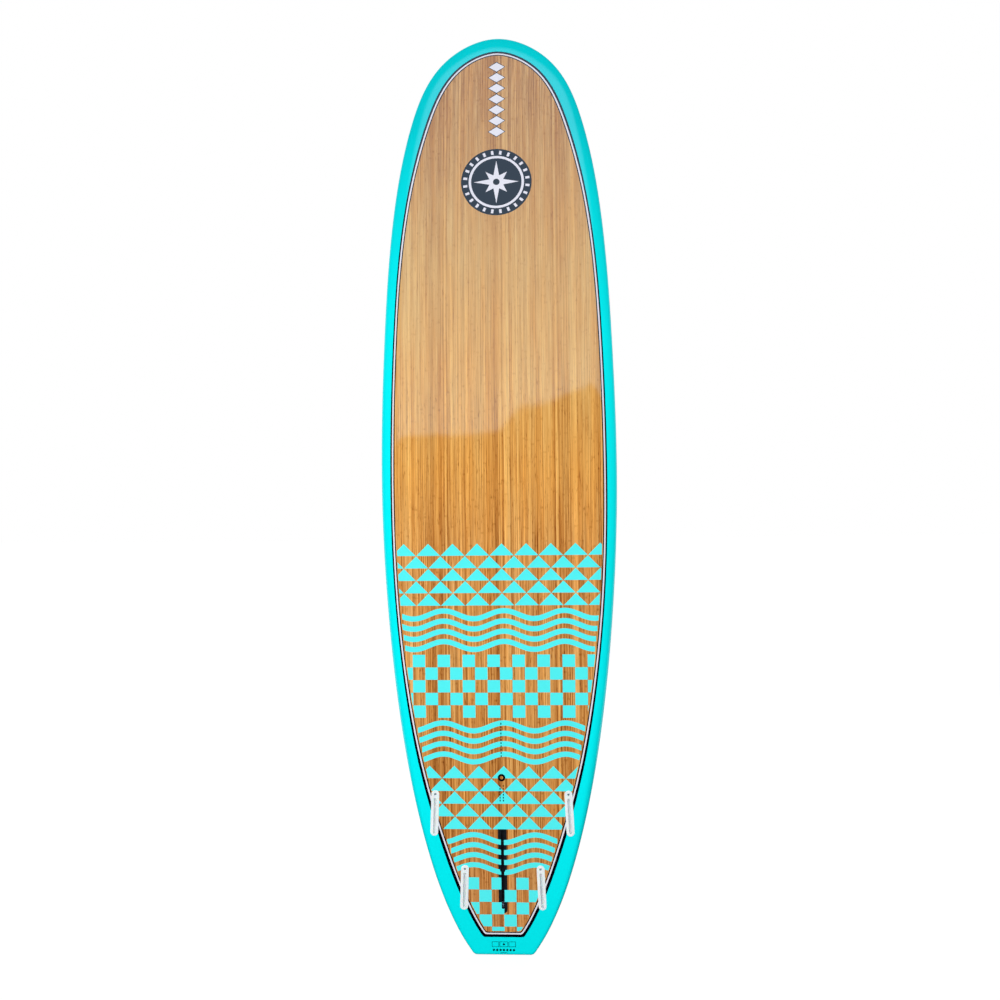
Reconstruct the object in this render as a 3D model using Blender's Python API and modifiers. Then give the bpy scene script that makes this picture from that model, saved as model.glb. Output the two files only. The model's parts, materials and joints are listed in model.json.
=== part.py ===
"""Stand up paddleboard: an epoxy sandwich board with bamboo skins, 9 ft 6 in long.

Frame: +Z from tail to nose, -Y out of the bottom, +Y out of the deck. The origin is the centre
of the flat end face of the squash tail. All lengths are in metres.
"""

import math

import bmesh
import bpy
import numpy as np
from mathutils import Matrix, Vector
from mathutils.geometry import delaunay_2d_cdt

# ---------------------------------------------------------------- hull, driving dimensions
LENGTH = 2.896
HALF_WIDTH = 0.363
MID_THICKNESS = 0.108
NOSE_THICKNESS = 0.022
TAIL_THICKNESS = 0.026
THICKEST_AT = 1.35
THICKNESS_POWER = 2.2
NOSE_ROCKER = 0.172
NOSE_ROCKER_POWER = 2.6
TAIL_ROCKER = 0.055
TAIL_ROCKER_POWER = 2.2
FLAT_SPOT_AT = 1.15
DECK_CROWN = 0.028

# Stations of the outline, (height from the tail, half width), from tail corner to nose tip.
OUTLINE = (
    (0.000, 0.0923), (0.050, 0.1245), (0.120, 0.1602), (0.300, 0.2242), (0.600, 0.2915),
    (1.000, 0.3409), (1.450, 0.3628), (1.900, 0.3530), (2.300, 0.3250), (2.600, 0.2713),
    (2.800, 0.1814), (2.873, 0.0900), (LENGTH, 0.0),
)
# The last stations before the tip are mirrored past it, so that the nose stays round.
MIRRORED_STATIONS = 3
TAIL_CORNER_RADIUS = 0.020

# Rail shape by height from the tail: plan depth of the round under the rail and on top of it.
RAIL_STATIONS = (0.00, 0.30, 0.80, 1.45, 2.30, LENGTH)
RAIL_UNDER = (0.010, 0.015, 0.040, 0.075, 0.065, 0.045)
RAIL_OVER = (0.010, 0.040, 0.070, 0.085, 0.080, 0.050)
RAIL_UNDER_SHARE = 0.45
WALL_SHARE_TAIL = 0.5
WALL_SHARE_MID = 0.05
WALL_FADE_HEIGHT = 0.15

# Width of the painted band seen from below, by height from the tail.
BAND_STATIONS = (0.00, 0.33, 0.62, 0.80, 1.10, 2.05, 2.35, 2.68, LENGTH)
BAND_UNDER = (0.046, 0.045, 0.033, 0.0295, 0.027, 0.027, 0.0315, 0.040, 0.044)
BAND_OVER = 0.055
BAND_UNDER_END = 0.0525
BAND_OVER_END = 0.050
BAND_CORNER_RADIUS = 0.012

SKIN = 0.0015
SKIN_JOINT = 0.0010
GAP = 0.0003
CORE_INSET = 0.0021
STRINGER_WIDTH = 0.006

# Mesh density of the hull.
OUTLINE_SAMPLES = 900
EDGE_SAMPLES = 20
TURN_WEIGHT = 0.55
END_STEPS = 2
CORNER_STEPS = 2
CORNER_SAMPLES = 17
SIDE_STEPS = 20
ROUND_STEPS = 4
INNER_OFFSETS_UNDER = (0.018, 0.048)
INNER_OFFSETS_OVER = (0.014, 0.034)
DECK_COLUMNS = 3
SLOPE_STEP = 0.002

# ---------------------------------------------------------------- fittings, driving dimensions
FLANGE_PROUD = 0.0006

SIDE_BOX_LENGTH = 0.143
SIDE_BOX_WIDTH = 0.0245
SIDE_BOX_FLANGE = 0.0016
SIDE_BODY_LENGTH = 0.135
SIDE_BODY_WIDTH = 0.018
SIDE_BODY_DEPTH = 0.021
SIDE_SLOT_LENGTH = 0.112
SIDE_SLOT_WIDTH = 0.0072
SIDE_SLOT_DEPTH = 0.0160
SIDE_SLOT_DROP = 0.0095
SIDE_BORE_RADIUS = 0.0034
SIDE_BORE_RISE = 0.0590
SIDE_BORE_DEPTH = 0.0135
SET_SCREW_RADIUS = 0.0030
SET_SCREW_TOP = 0.0012
SET_SCREW_LENGTH = 0.0100
SET_SCREW_SOCKET_RADIUS = 0.0018
SET_SCREW_SOCKET_DEPTH = 0.0035
SIDE_BLOCK = (0.028, 0.150)
SIDE_BLOCK_TOP = 0.0032
SIDE_BLOCK_DEPTH = 0.028
# Places of the side boxes: distance from the centre line, height from the tail, toe-in.
FRONT_BOX = (0.2070, 0.4530, math.radians(2.6))
REAR_BOX = (0.1190, 0.2180, math.radians(2.2))

CENTRE_BOX_AT = 0.2746
CENTRE_BOX_LENGTH = 0.280
CENTRE_BOX_WIDTH = 0.027
CENTRE_FLANGE = 0.0028
CENTRE_BODY_LENGTH = 0.272
CENTRE_BODY_WIDTH = 0.0225
CENTRE_BODY_DEPTH = 0.025
CENTRE_SLOT_LENGTH = 0.250
CENTRE_SLOT_WIDTH = 0.0094
CENTRE_CHANNEL_WIDTH = 0.0160
CENTRE_CHANNEL_TOP = 0.0085
CENTRE_CHANNEL_DEPTH = 0.0185
CENTRE_ENTRY_RADIUS = 0.0085
CENTRE_BLOCK = (0.040, 0.292)
CENTRE_BLOCK_TOP = 0.0031
CENTRE_BLOCK_DEPTH = 0.029

FIN_PLATE_LENGTH = 0.018
FIN_PLATE_WIDTH = 0.0145
FIN_PLATE_TOP = 0.0095
FIN_PLATE_THICKNESS = 0.0030
FIN_PLATE_BORE = 0.0023
FIN_PLATE_END_GAP = 0.0010
FIN_SCREW_HEAD_RADIUS = 0.0040
FIN_SCREW_HEAD_TOP = 0.0020
FIN_SCREW_HEAD_HEIGHT = 0.0026
FIN_SCREW_RADIUS = 0.0020
FIN_SCREW_TIP = 0.0165
FIN_SCREW_SOCKET_RADIUS = 0.0016
FIN_SCREW_SOCKET_DEPTH = 0.0016

HANDLE_AT = 1.42
HANDLE_FLANGE = (0.122, 0.168)
HANDLE_FLANGE_THICKNESS = 0.0022
HANDLE_CUP = (0.105, 0.151)
HANDLE_WALL = 0.0035
HANDLE_DEPTH = 0.042
HANDLE_CORNER = 0.020
HANDLE_BAR_RADIUS = 0.0060
HANDLE_BAR_DEPTH = 0.0160
HANDLE_GRIP_RADIUS = 0.0125
HANDLE_GRIP_LENGTH = 0.100
HANDLE_BLOCK = (0.145, 0.192)
HANDLE_BLOCK_TOP = 0.0030
HANDLE_BLOCK_DEPTH = 0.050

VENT_AT = (0.060, 2.200)
VENT_FLANGE_RADIUS = 0.017
VENT_FLANGE_THICKNESS = 0.0022
VENT_PROUD = 0.0008
VENT_BODY_RADIUS = 0.013
VENT_DEPTH = 0.020
VENT_RECESS_RADIUS = 0.0100
VENT_RECESS_DEPTH = 0.0060
VENT_BORE_RADIUS = 0.0044
VENT_BORE_DEPTH = 0.0175
VENT_HEAD_RADIUS = 0.0085
VENT_HEAD_TOP = 0.0002
VENT_HEAD_HEIGHT = 0.0036
VENT_SHANK_RADIUS = 0.0040
VENT_SHANK_TIP = 0.0160
VENT_SEAL_RADIUS = 0.0062
VENT_SEAL_SECTION = 0.0009
VENT_COIN_SLOT = (0.0120, 0.0022, 0.0016)
VENT_BLOCK = (0.050, 0.050)
VENT_BLOCK_TOP = 0.0026
VENT_BLOCK_DEPTH = 0.028

LEASH_AT = 0.072
LEASH_FLANGE_RADIUS = 0.0200
LEASH_FLANGE_THICKNESS = 0.0020
LEASH_BODY_RADIUS = 0.0170
LEASH_DEPTH = 0.0205
LEASH_POCKET_RADIUS = 0.0140
LEASH_POCKET_DEPTH = 0.0170
LEASH_PIN_RADIUS = 0.0020
LEASH_PIN_BORE = 0.0023
LEASH_PIN_LENGTH = 0.0320
LEASH_PIN_DEPTH = 0.0055
LEASH_BLOCK = (0.048, 0.046)
LEASH_BLOCK_TOP = 0.0024
LEASH_BLOCK_DEPTH = 0.0245

PAD_THICKNESS = 0.005
PAD_GLUE = 0.0012
PAD_INSET = 0.092
PAD_CENTRE_GAP = 0.0020
PAD_MAIN = (0.640, 2.020)
PAD_TAIL = (0.135, 0.632)
PAD_NOSE_ROUND = 0.300
PAD_NOSE_POWER = 2.6
PAD_NOSE_LIMIT = 0.98
PAD_ROW = 0.090
PAD_COLUMN = 0.070
PAD_OPENING = (0.140, 0.186)
PAD_OPENING_CORNER = 0.024

ROUND_SEGMENTS = 20
SMALL_SEGMENTS = 12
HEX_SIDES = 6
ARC_STEPS = 6
SLOT_STEPS = 4
RECTANGLE_STEPS = 4
FINE_RECTANGLE_STEPS = 2
ENTRY_SEGMENTS = 16
SEAL_SEGMENTS = 6
BLOCK_CORNER = 0.004
CHANNEL_CORNER = 0.002
PLATE_CORNER = 0.002
CUT_OUTSIDE = 0.012
MERGE = 0.00001
SMOOTH_ANGLE = math.radians(40)

# Colour, roughness and metallic value of each finish.
FINISHES = {
    "turquoise_paint": ((0.0, 0.76, 0.79), 0.14, 0.0),
    "bamboo": ((0.66, 0.40, 0.17), 0.22, 0.0),
    "bamboo_deck": ((0.67, 0.44, 0.22), 0.24, 0.0),
    "eps_foam": ((0.90, 0.90, 0.88), 0.85, 0.0),
    "dense_foam": ((0.86, 0.74, 0.45), 0.80, 0.0),
    "stringer_wood": ((0.62, 0.42, 0.24), 0.60, 0.0),
    "black_plastic": ((0.010, 0.011, 0.014), 0.32, 0.0),
    "clear_plastic": ((0.80, 0.86, 0.86), 0.18, 0.0),
    "stainless": ((0.72, 0.73, 0.74), 0.26, 1.0),
    "eva_foam": ((0.055, 0.065, 0.075), 0.85, 0.0),
    "soft_rubber": ((0.02, 0.02, 0.022), 0.70, 0.0),
}


# ---------------------------------------------------------------- scene helpers
def clear_scene():
    for obj in list(bpy.data.objects):
        bpy.data.objects.remove(obj, do_unlink=True)


def new_collection(name):
    collection = bpy.data.collections.new(name)
    bpy.context.scene.collection.children.link(collection)
    return collection


def new_material(name, finish):
    colour, roughness, metallic = FINISHES[finish]
    material = bpy.data.materials.new(name)
    material.use_nodes = True
    shader = material.node_tree.nodes["Principled BSDF"]
    shader.inputs["Base Color"].default_value = (*colour, 1.0)
    shader.inputs["Roughness"].default_value = roughness
    shader.inputs["Metallic"].default_value = metallic
    return material


def mesh_from(name, vertices, faces):
    mesh = bpy.data.meshes.new(name)
    mesh.from_pydata([tuple(v) for v in vertices], [], faces)
    return mesh


def add_part(name, mesh, finish, place=None):
    """Put a mesh in the board's collection as a named part with a material of its own."""
    mesh.shade_smooth()
    mesh.set_sharp_from_angle(angle=SMOOTH_ANGLE)
    obj = bpy.data.objects.new(name, mesh)
    obj.matrix_world = place or Matrix()
    BOARD.objects.link(obj)
    if not mesh.materials:
        mesh.materials.append(None)
    obj.material_slots[0].link = "OBJECT"
    obj.material_slots[0].material = new_material(name + "_finish", finish)
    return obj


def add_cutter(name, mesh, place=None):
    obj = bpy.data.objects.new(name, mesh)
    obj.matrix_world = place or Matrix()
    obj.hide_render = True
    obj.display_type = "WIRE"
    CUTTERS.objects.link(obj)
    return obj


def cut(obj, cutter, operation="DIFFERENCE"):
    modifier = obj.modifiers.new(cutter.name, "BOOLEAN")
    modifier.operation = operation
    modifier.solver = "EXACT"
    modifier.object = cutter


def evaluated_mesh(obj, name):
    bpy.context.view_layer.update()
    graph = bpy.context.evaluated_depsgraph_get()
    mesh = bpy.data.meshes.new_from_object(obj.evaluated_get(graph))
    mesh.name = name
    weld(mesh)
    return mesh


def weld(mesh):
    bm = bmesh.new()
    bm.from_mesh(mesh)
    bmesh.ops.remove_doubles(bm, verts=bm.verts, dist=MERGE)
    bmesh.ops.dissolve_degenerate(bm, dist=MERGE, edges=bm.edges)
    bm.to_mesh(mesh)
    bm.free()


def combined(name, base, additions=(), cuts=()):
    """Base mesh with other meshes joined to it and cut from it, all in one local frame."""
    body = bpy.data.objects.new(name, base)
    BOARD.objects.link(body)
    tools = []
    for index, (mesh, operation) in enumerate(
            [(m, "UNION") for m in additions] + [(m, "DIFFERENCE") for m in cuts]):
        tool = add_cutter(f"{name}_tool_{index}", mesh)
        cut(body, tool, operation)
        tools.append(tool)
    mesh = evaluated_mesh(body, name)
    for obj in [body] + tools:
        bpy.data.objects.remove(obj, do_unlink=True)
    return mesh


# ---------------------------------------------------------------- smooth curves of the hull
def cubic_spline(knots, values):
    """Natural cubic spline through the values at the knots, as a function."""
    knots = np.asarray(knots, float)
    values = np.asarray(values, float)
    steps = np.diff(knots)
    count = len(knots)
    system = np.eye(count)
    right = np.zeros(count)
    for i in range(1, count - 1):
        system[i, i - 1] = steps[i - 1]
        system[i, i] = 2 * (steps[i - 1] + steps[i])
        system[i, i + 1] = steps[i]
        slopes = np.diff(values[i - 1:i + 2]) / steps[i - 1:i + 1]
        right[i] = 6 * (slopes[1] - slopes[0])
    bends = np.linalg.solve(system, right)

    def evaluate(t):
        t = np.asarray(t, float)
        i = np.clip(np.searchsorted(knots, t) - 1, 0, count - 2)
        step = steps[i]
        before = t - knots[i]
        after = knots[i + 1] - t
        cubic = (bends[i] * after ** 3 + bends[i + 1] * before ** 3) / (6 * step)
        low = (values[i] / step - bends[i] * step / 6) * after
        high = (values[i + 1] / step - bends[i + 1] * step / 6) * before
        return cubic + low + high

    return evaluate


def rocker(z):
    """Height of the bottom above its flat spot, towards the deck."""
    nose = np.clip((z - FLAT_SPOT_AT) / (LENGTH - FLAT_SPOT_AT), 0, None)
    tail = np.clip((FLAT_SPOT_AT - z) / FLAT_SPOT_AT, 0, None)
    return NOSE_ROCKER * nose ** NOSE_ROCKER_POWER + TAIL_ROCKER * tail ** TAIL_ROCKER_POWER


def thickness(z):
    """Thickness on the centre line."""
    nose = np.clip((z - THICKEST_AT) / (LENGTH - THICKEST_AT), 0, 1) ** THICKNESS_POWER
    tail = np.clip((THICKEST_AT - z) / THICKEST_AT, 0, 1) ** THICKNESS_POWER
    return (MID_THICKNESS - (MID_THICKNESS - NOSE_THICKNESS) * nose
            - (MID_THICKNESS - TAIL_THICKNESS) * tail)


def crown(x):
    """How far the deck falls from its centre line at x."""
    return DECK_CROWN * (np.asarray(x, float) / HALF_WIDTH) ** 2


TAIL_SHIFT = TAIL_ROCKER + TAIL_THICKNESS / 2


def bottom_line(z):
    return rocker(z) - TAIL_SHIFT


def side_curve():
    """Dense points (x, z) of the right side from tail corner to nose tip."""
    stations = [(w, z) for z, w in OUTLINE]
    mirrored = [(-w, z) for z, w in reversed(OUTLINE[-1 - MIRRORED_STATIONS:-1])]
    points = np.array(stations + mirrored)
    chords = np.hypot(*np.diff(points, axis=0).T)
    knots = np.concatenate([[0], np.cumsum(chords)])
    t = np.linspace(0, knots[len(stations) - 1], OUTLINE_SAMPLES)
    return np.column_stack([cubic_spline(knots, points[:, 0])(t),
                            cubic_spline(knots, points[:, 1])(t)])


def inward_normals(points):
    tangents = np.gradient(points, axis=0)
    tangents[-1] = (-1, 0)
    tangents /= np.hypot(*tangents.T)[:, None]
    return np.column_stack([-tangents[:, 1], tangents[:, 0]])


def inset_half(offsets, end_offset, corner_radius):
    """Right half of the outline moved inwards: end line, corner arc and side, as three pieces."""
    side = SIDE + inward_normals(SIDE) * np.asarray(offsets)[..., None]
    first = int(np.argmax(side[:, 1] > end_offset))
    share = (end_offset - side[first - 1, 1]) / (side[first, 1] - side[first - 1, 1]) if first else 0
    corner = side[first - 1] + share * (side[first] - side[first - 1]) if first else side[0]
    ahead = side[first + 1] - corner
    ahead /= np.hypot(*ahead)
    turn = math.atan2(ahead[1], ahead[0])
    reach = corner_radius * math.tan(turn / 2)
    arc_start = np.array([corner[0] - reach, end_offset])
    centre = arc_start + (0, corner_radius)
    angles = np.linspace(0, turn, CORNER_SAMPLES)
    arc = centre + corner_radius * np.column_stack([np.sin(angles), -np.cos(angles)])
    along = (side - corner) @ ahead
    rest = side[(np.arange(len(side)) > first) & (along > reach)]
    end = np.array([(0, end_offset), arc_start])
    return end, arc, np.vstack([arc[-1:], rest])


def resample(points, count, turn_weight=0.0):
    """Points spread evenly by length plus weighted turning."""
    moves = np.diff(points, axis=0)
    lengths = np.hypot(*moves.T)
    headings = np.unwrap(np.arctan2(moves[:, 1], moves[:, 0]))
    turning = np.concatenate([[0], np.abs(np.diff(headings))])
    weights = np.concatenate([[0], np.cumsum(lengths + turn_weight * turning)])
    wanted = np.linspace(0, weights[-1], count + 1)
    return np.column_stack([np.interp(wanted, weights, points[:, k]) for k in (0, 1)])


def ring(offsets, end_offset, corner_radius):
    """Stations of one inset outline, from the tail's centre to the nose's, right side."""
    end, arc, side = inset_half(offsets, end_offset, corner_radius)
    return np.vstack([resample(end, END_STEPS)[:-1], resample(arc, CORNER_STEPS)[:-1],
                      resample(side, SIDE_STEPS, TURN_WEIGHT)])


def outline_edge():
    """Dense points (x, z) of the whole right half of the outline."""
    end, arc, side = inset_half(np.zeros(len(SIDE)), 0.0, TAIL_CORNER_RADIUS)
    return np.vstack([resample(end, EDGE_SAMPLES)[:-1], arc[:-1], side])


def nearest_edge(x, z):
    """Distance in plan to the outline, and the outline's half width and height there."""
    points = np.column_stack([np.abs(np.atleast_1d(x)), np.atleast_1d(z)])
    starts = EDGE[:-1]
    moves = np.diff(EDGE, axis=0)
    to_point = points[:, None] - starts
    share = np.clip((to_point * moves).sum(2) / (moves ** 2).sum(1), 0, 1)
    feet = starts + share[..., None] * moves
    gaps = np.hypot(*(points[:, None] - feet).transpose(2, 0, 1))
    best = gaps.argmin(1)
    rows = np.arange(len(points))
    return gaps[rows, best], feet[rows, best, 0], feet[rows, best, 1]


def rail_heights(edge_x, edge_z):
    """Heights of the round under the rail and of the round over it at a place on the outline."""
    full = thickness(edge_z) - crown(edge_x)
    fade = np.clip(1 - edge_z / WALL_FADE_HEIGHT, 0, 1) ** 2
    wall = full * (WALL_SHARE_MID + (WALL_SHARE_TAIL - WALL_SHARE_MID) * fade)
    return RAIL_UNDER_SHARE * (full - wall), (1 - RAIL_UNDER_SHARE) * (full - wall)


def quarter_round(share):
    """Quarter ellipse: 1 at the edge, 0 one full depth inside it."""
    inside = np.clip(1 - share, 0, 1)
    return 1 - np.sqrt(1 - inside ** 2)


def surface_y(x, z, on_deck):
    """Height of the hull's skin over the board's plan, on the bottom or on the deck."""
    x = np.atleast_1d(np.asarray(x, float))
    z = np.atleast_1d(np.asarray(z, float))
    distance, edge_x, edge_z = nearest_edge(x, z)
    distance = np.where(distance < MERGE, 0, distance)
    under, over = rail_heights(edge_x, edge_z)
    if on_deck:
        fall = over * quarter_round(distance / RAIL_OVER_AT(edge_z))
        return bottom_line(z) + thickness(z) - crown(x) - fall
    return bottom_line(z) + under * quarter_round(distance / RAIL_UNDER_AT(edge_z))


def surface_frame(x, z, on_deck, turn=0.0):
    """Frame on the skin: local +Y points into the board and local +Z towards the nose."""
    step = SLOPE_STEP
    around = ((x, z), (x, z - step), (x, z + step), (x - step, z), (x + step, z))
    here, below, above, left, right = (float(y) for y in surface_y(*zip(*around), on_deck))
    up = Vector((0, above - below, 2 * step)).normalized()
    across = Vector((2 * step, right - left, 0)).normalized()
    inward = up.cross(across).normalized()
    if on_deck:
        inward = -inward
    side = inward.cross(up).normalized()
    frame = Matrix((side, inward, up)).transposed().to_4x4()
    frame.translation = (x, here, z)
    return frame @ Matrix.Rotation(turn, 4, "Y")


# ---------------------------------------------------------------- hull mesh
def both_sides(half):
    """Closed loop of a symmetric ring: up the right side, then down the left."""
    left = half[-2:0:-1] * (-1, 1)
    return np.vstack([half, left])


class HullMesh:
    """Vertices and triangles of the whole outer surface, each triangle with its zone."""

    def __init__(self):
        self.vertices = []
        self.faces = []
        self.zones = []

    def add_ring(self, loop, on_deck):
        start = len(self.vertices)
        heights = surface_y(loop[:, 0], loop[:, 1], on_deck)
        self.vertices += [(x, y, z) for (x, z), y in zip(loop, heights)]
        return list(range(start, len(self.vertices)))

    def add_strip(self, inner, outer, zone):
        """Triangles between two rings whose outside faces the bottom side."""
        count = len(inner)
        for i in range(count):
            j = (i + 1) % count
            self.faces += [(inner[i], outer[i], outer[j]), (inner[i], outer[j], inner[j])]
            self.zones += [zone, zone]

    def add_fill(self, ring_ids, loop, on_deck, zone, columns):
        """Fill inside the innermost ring, with rows of inner points where the skin is crowned."""
        rows = loop[END_STEPS + CORNER_STEPS:len(loop) // 2 - 1]
        shares = [k / columns - 1 for k in range(1, 2 * columns)] if columns else []
        inner = [(share * x, z) for x, z in rows for share in shares]
        points = [Vector(p) for p in list(map(tuple, loop)) + inner]
        edges = [(i, (i + 1) % len(loop)) for i in range(len(loop))]
        found, _, faces, originals, _, _ = delaunay_2d_cdt(points, edges, [], 1, MERGE)
        new_ids = list(range(len(self.vertices), len(self.vertices) + len(inner)))
        if inner:
            heights = surface_y([p[0] for p in inner], [p[1] for p in inner], on_deck)
            self.vertices += [(x, y, z) for (x, z), y in zip(inner, heights)]
        ids = ring_ids + new_ids
        for face in faces:
            corners = [ids[originals[v][0]] for v in face]
            self.faces.append(tuple(corners))
            self.zones.append(zone)


def build_hull():
    hull = HullMesh()
    zero = np.zeros(len(SIDE))
    band_under = BAND_UNDER_AT(SIDE[:, 1])

    def loop_at(offsets, end_offset, radius):
        return both_sides(ring(offsets, end_offset, radius))

    def surface(on_deck, band, band_end, extra, zone, columns):
        """Rings from the rail's edge to the middle, all strips listed for the bottom's outside."""
        shares = [(k / ROUND_STEPS) ** 2 for k in range(ROUND_STEPS + 1)]
        rings = []
        for share in shares:
            radius = max(TAIL_CORNER_RADIUS - share * band_end, BAND_CORNER_RADIUS)
            rings.append(loop_at(zero + band * share, band_end * share, radius))
        inner = [SKIN_JOINT] + [SKIN_JOINT + step for step in extra]
        for step in inner:
            rings.append(loop_at(zero + band + step, band_end + step, BAND_CORNER_RADIUS))
        ids = [hull.add_ring(loop, on_deck) for loop in rings]
        zones = ["rail"] * ROUND_STEPS + ["gap"] + [zone] * len(extra)
        for outer, inner_ids, name in zip(ids, ids[1:], zones):
            hull.add_strip(inner_ids, outer, name)
        hull.add_fill(ids[-1], rings[-1], on_deck, zone, columns)
        return ids[0]

    under_edge = surface(False, band_under, BAND_UNDER_END, INNER_OFFSETS_UNDER, "bottom", 0)
    first_deck_face = len(hull.faces)
    over_edge = surface(True, BAND_OVER, BAND_OVER_END, INNER_OFFSETS_OVER, "deck", DECK_COLUMNS)
    hull.faces[first_deck_face:] = [tuple(reversed(f)) for f in hull.faces[first_deck_face:]]
    hull.add_strip(under_edge, over_edge, "rail")
    return hull


def zone_mesh(hull, name, zones):
    """Mesh of the chosen zones, with its faces turned to point outwards."""
    faces = [f for f, zone in zip(hull.faces, hull.zones) if zone in zones]
    used = sorted({v for f in faces for v in f})
    renumber = {v: i for i, v in enumerate(used)}
    vertices = [hull.vertices[v] for v in used]
    return mesh_from(name, vertices, [tuple(renumber[v] for v in f) for f in faces])


def add_skin(hull, name, zone, finish):
    obj = add_part(name, zone_mesh(hull, name, {zone}), finish)
    shell = obj.modifiers.new("thickness", "SOLIDIFY")
    shell.thickness = SKIN
    shell.offset = -1
    shell.use_even_offset = True
    return obj


def inner_solid(hull, name, low_x, high_x):
    """Slice of the board inside the skins between two planes across the board."""
    mesh = zone_mesh(hull, name, {"bottom", "rail", "deck", "gap"})
    bm = bmesh.new()
    bm.from_mesh(mesh)
    bm.normal_update()
    moved = [v.co - v.normal * CORE_INSET * v.calc_shell_factor() for v in bm.verts]
    for vertex, place in zip(bm.verts, moved):
        vertex.co = place
    for limit, side in ((low_x, 1), (high_x, -1)):
        if limit is None:
            continue
        parts = bm.verts[:] + bm.edges[:] + bm.faces[:]
        result = bmesh.ops.bisect_plane(bm, geom=parts, dist=MERGE, plane_co=(limit, 0, 0),
                                        plane_no=(side, 0, 0), clear_inner=True)
        edges = [g for g in result["geom_cut"] if isinstance(g, bmesh.types.BMEdge)]
        bmesh.ops.holes_fill(bm, edges=edges)
    bmesh.ops.triangulate(bm, faces=bm.faces)
    bmesh.ops.recalc_face_normals(bm, faces=bm.faces)
    bm.to_mesh(mesh)
    bm.free()
    return mesh


# ---------------------------------------------------------------- shapes of the fittings
def stadium(width, length, steps=ARC_STEPS):
    """Points of a strip with round ends, in the local across and along directions."""
    radius = width / 2
    straight = length / 2 - radius
    points = []
    for sign in (1, -1):
        for k in range(steps + 1):
            angle = math.pi * k / steps
            points.append((sign * radius * math.cos(angle),
                           sign * (straight + radius * math.sin(angle))))
    return points


def rounded_rectangle(width, length, radius, steps=RECTANGLE_STEPS):
    points = []
    corners = ((1, 1, 0), (-1, 1, 90), (-1, -1, 180), (1, -1, 270))
    for side_x, side_z, start in corners:
        for k in range(steps + 1):
            angle = math.radians(start + 90 * k / steps)
            points.append((side_x * (width / 2 - radius) + radius * math.cos(angle),
                           side_z * (length / 2 - radius) + radius * math.sin(angle)))
    return points


def circle(radius, segments=ROUND_SEGMENTS):
    return [(radius * math.cos(math.tau * k / segments), radius * math.sin(math.tau * k / segments))
            for k in range(segments)]


def outline_solid(name, points, near, far, along=0.0):
    """Flat outline given as (across, along), solid from depth near to depth far."""
    curve = bpy.data.curves.new(name, "CURVE")
    curve.dimensions = "2D"
    curve.fill_mode = "BOTH"
    curve.extrude = (far - near) / 2
    spline = curve.splines.new("POLY")
    spline.points.add(len(points) - 1)
    for point, (across, up) in zip(spline.points, points):
        point.co = (across, up, 0, 1)
    spline.use_cyclic_u = True
    obj = bpy.data.objects.new(name, curve)
    CUTTERS.objects.link(obj)
    mesh = evaluated_mesh(obj, name)
    bpy.data.objects.remove(obj, do_unlink=True)
    upright = Matrix.Rotation(math.pi / 2, 4, "X")
    mesh.transform(Matrix.Translation((0, (near + far) / 2, along)) @ upright)
    return mesh


def turned_solid(name, profile, segments=ROUND_SEGMENTS):
    """Solid turned about the depth axis. The profile is (radius, depth), outer side downwards."""
    bm = bmesh.new()
    vertices = [bm.verts.new((radius, 0, -depth)) for radius, depth in profile]
    for a, b in zip(vertices, vertices[1:]):
        bm.edges.new((a, b))
    mesh = bpy.data.meshes.new(name)
    bm.to_mesh(mesh)
    bm.free()
    obj = bpy.data.objects.new(name, mesh)
    CUTTERS.objects.link(obj)
    screw = obj.modifiers.new("turn", "SCREW")
    screw.steps = segments
    screw.render_steps = segments
    screw.use_merge_vertices = True
    screw.merge_threshold = MERGE
    result = evaluated_mesh(obj, name)
    bpy.data.objects.remove(obj, do_unlink=True)
    result.transform(Matrix.Rotation(math.pi / 2, 4, "X"))
    return result


def cylinder_along(name, radius, length, axis, segments=ROUND_SEGMENTS):
    """Closed cylinder about the origin, lying along the local axis X or Z."""
    bm = bmesh.new()
    bmesh.ops.create_cone(bm, cap_ends=True, segments=segments, radius1=radius, radius2=radius,
                          depth=length)
    if axis == "X":
        bm.transform(Matrix.Rotation(math.pi / 2, 4, "Y"))
    mesh = bpy.data.meshes.new(name)
    bm.to_mesh(mesh)
    bm.free()
    return mesh


def grown(size, by):
    return tuple(value + 2 * by for value in size)


def grown_rectangle(size, by, radius):
    return rounded_rectangle(*grown(size, by), radius + by)


# ---------------------------------------------------------------- fittings
def fit_block(name, size, top, depth, pocket, place, hosts):
    """Dense foam block with a pocket for its fitting, let into the foam core."""
    outline = rounded_rectangle(*size, BLOCK_CORNER, FINE_RECTANGLE_STEPS)
    block = outline_solid(name, outline, top, depth)
    add_part(name, combined(name, block, cuts=[pocket]), "dense_foam", place)
    outline = rounded_rectangle(*grown(size, GAP), BLOCK_CORNER, FINE_RECTANGLE_STEPS)
    room = outline_solid(name + "_room", outline, -CUT_OUTSIDE, depth + GAP)
    cutter = add_cutter(name + "_room", room, place)
    for host in hosts:
        cut(host, cutter)


def cut_skins(name, points, place, skins):
    opening = add_cutter(name, outline_solid(name, points, -CUT_OUTSIDE, CUT_OUTSIDE / 2), place)
    for skin in skins:
        cut(skin, opening)


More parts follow.
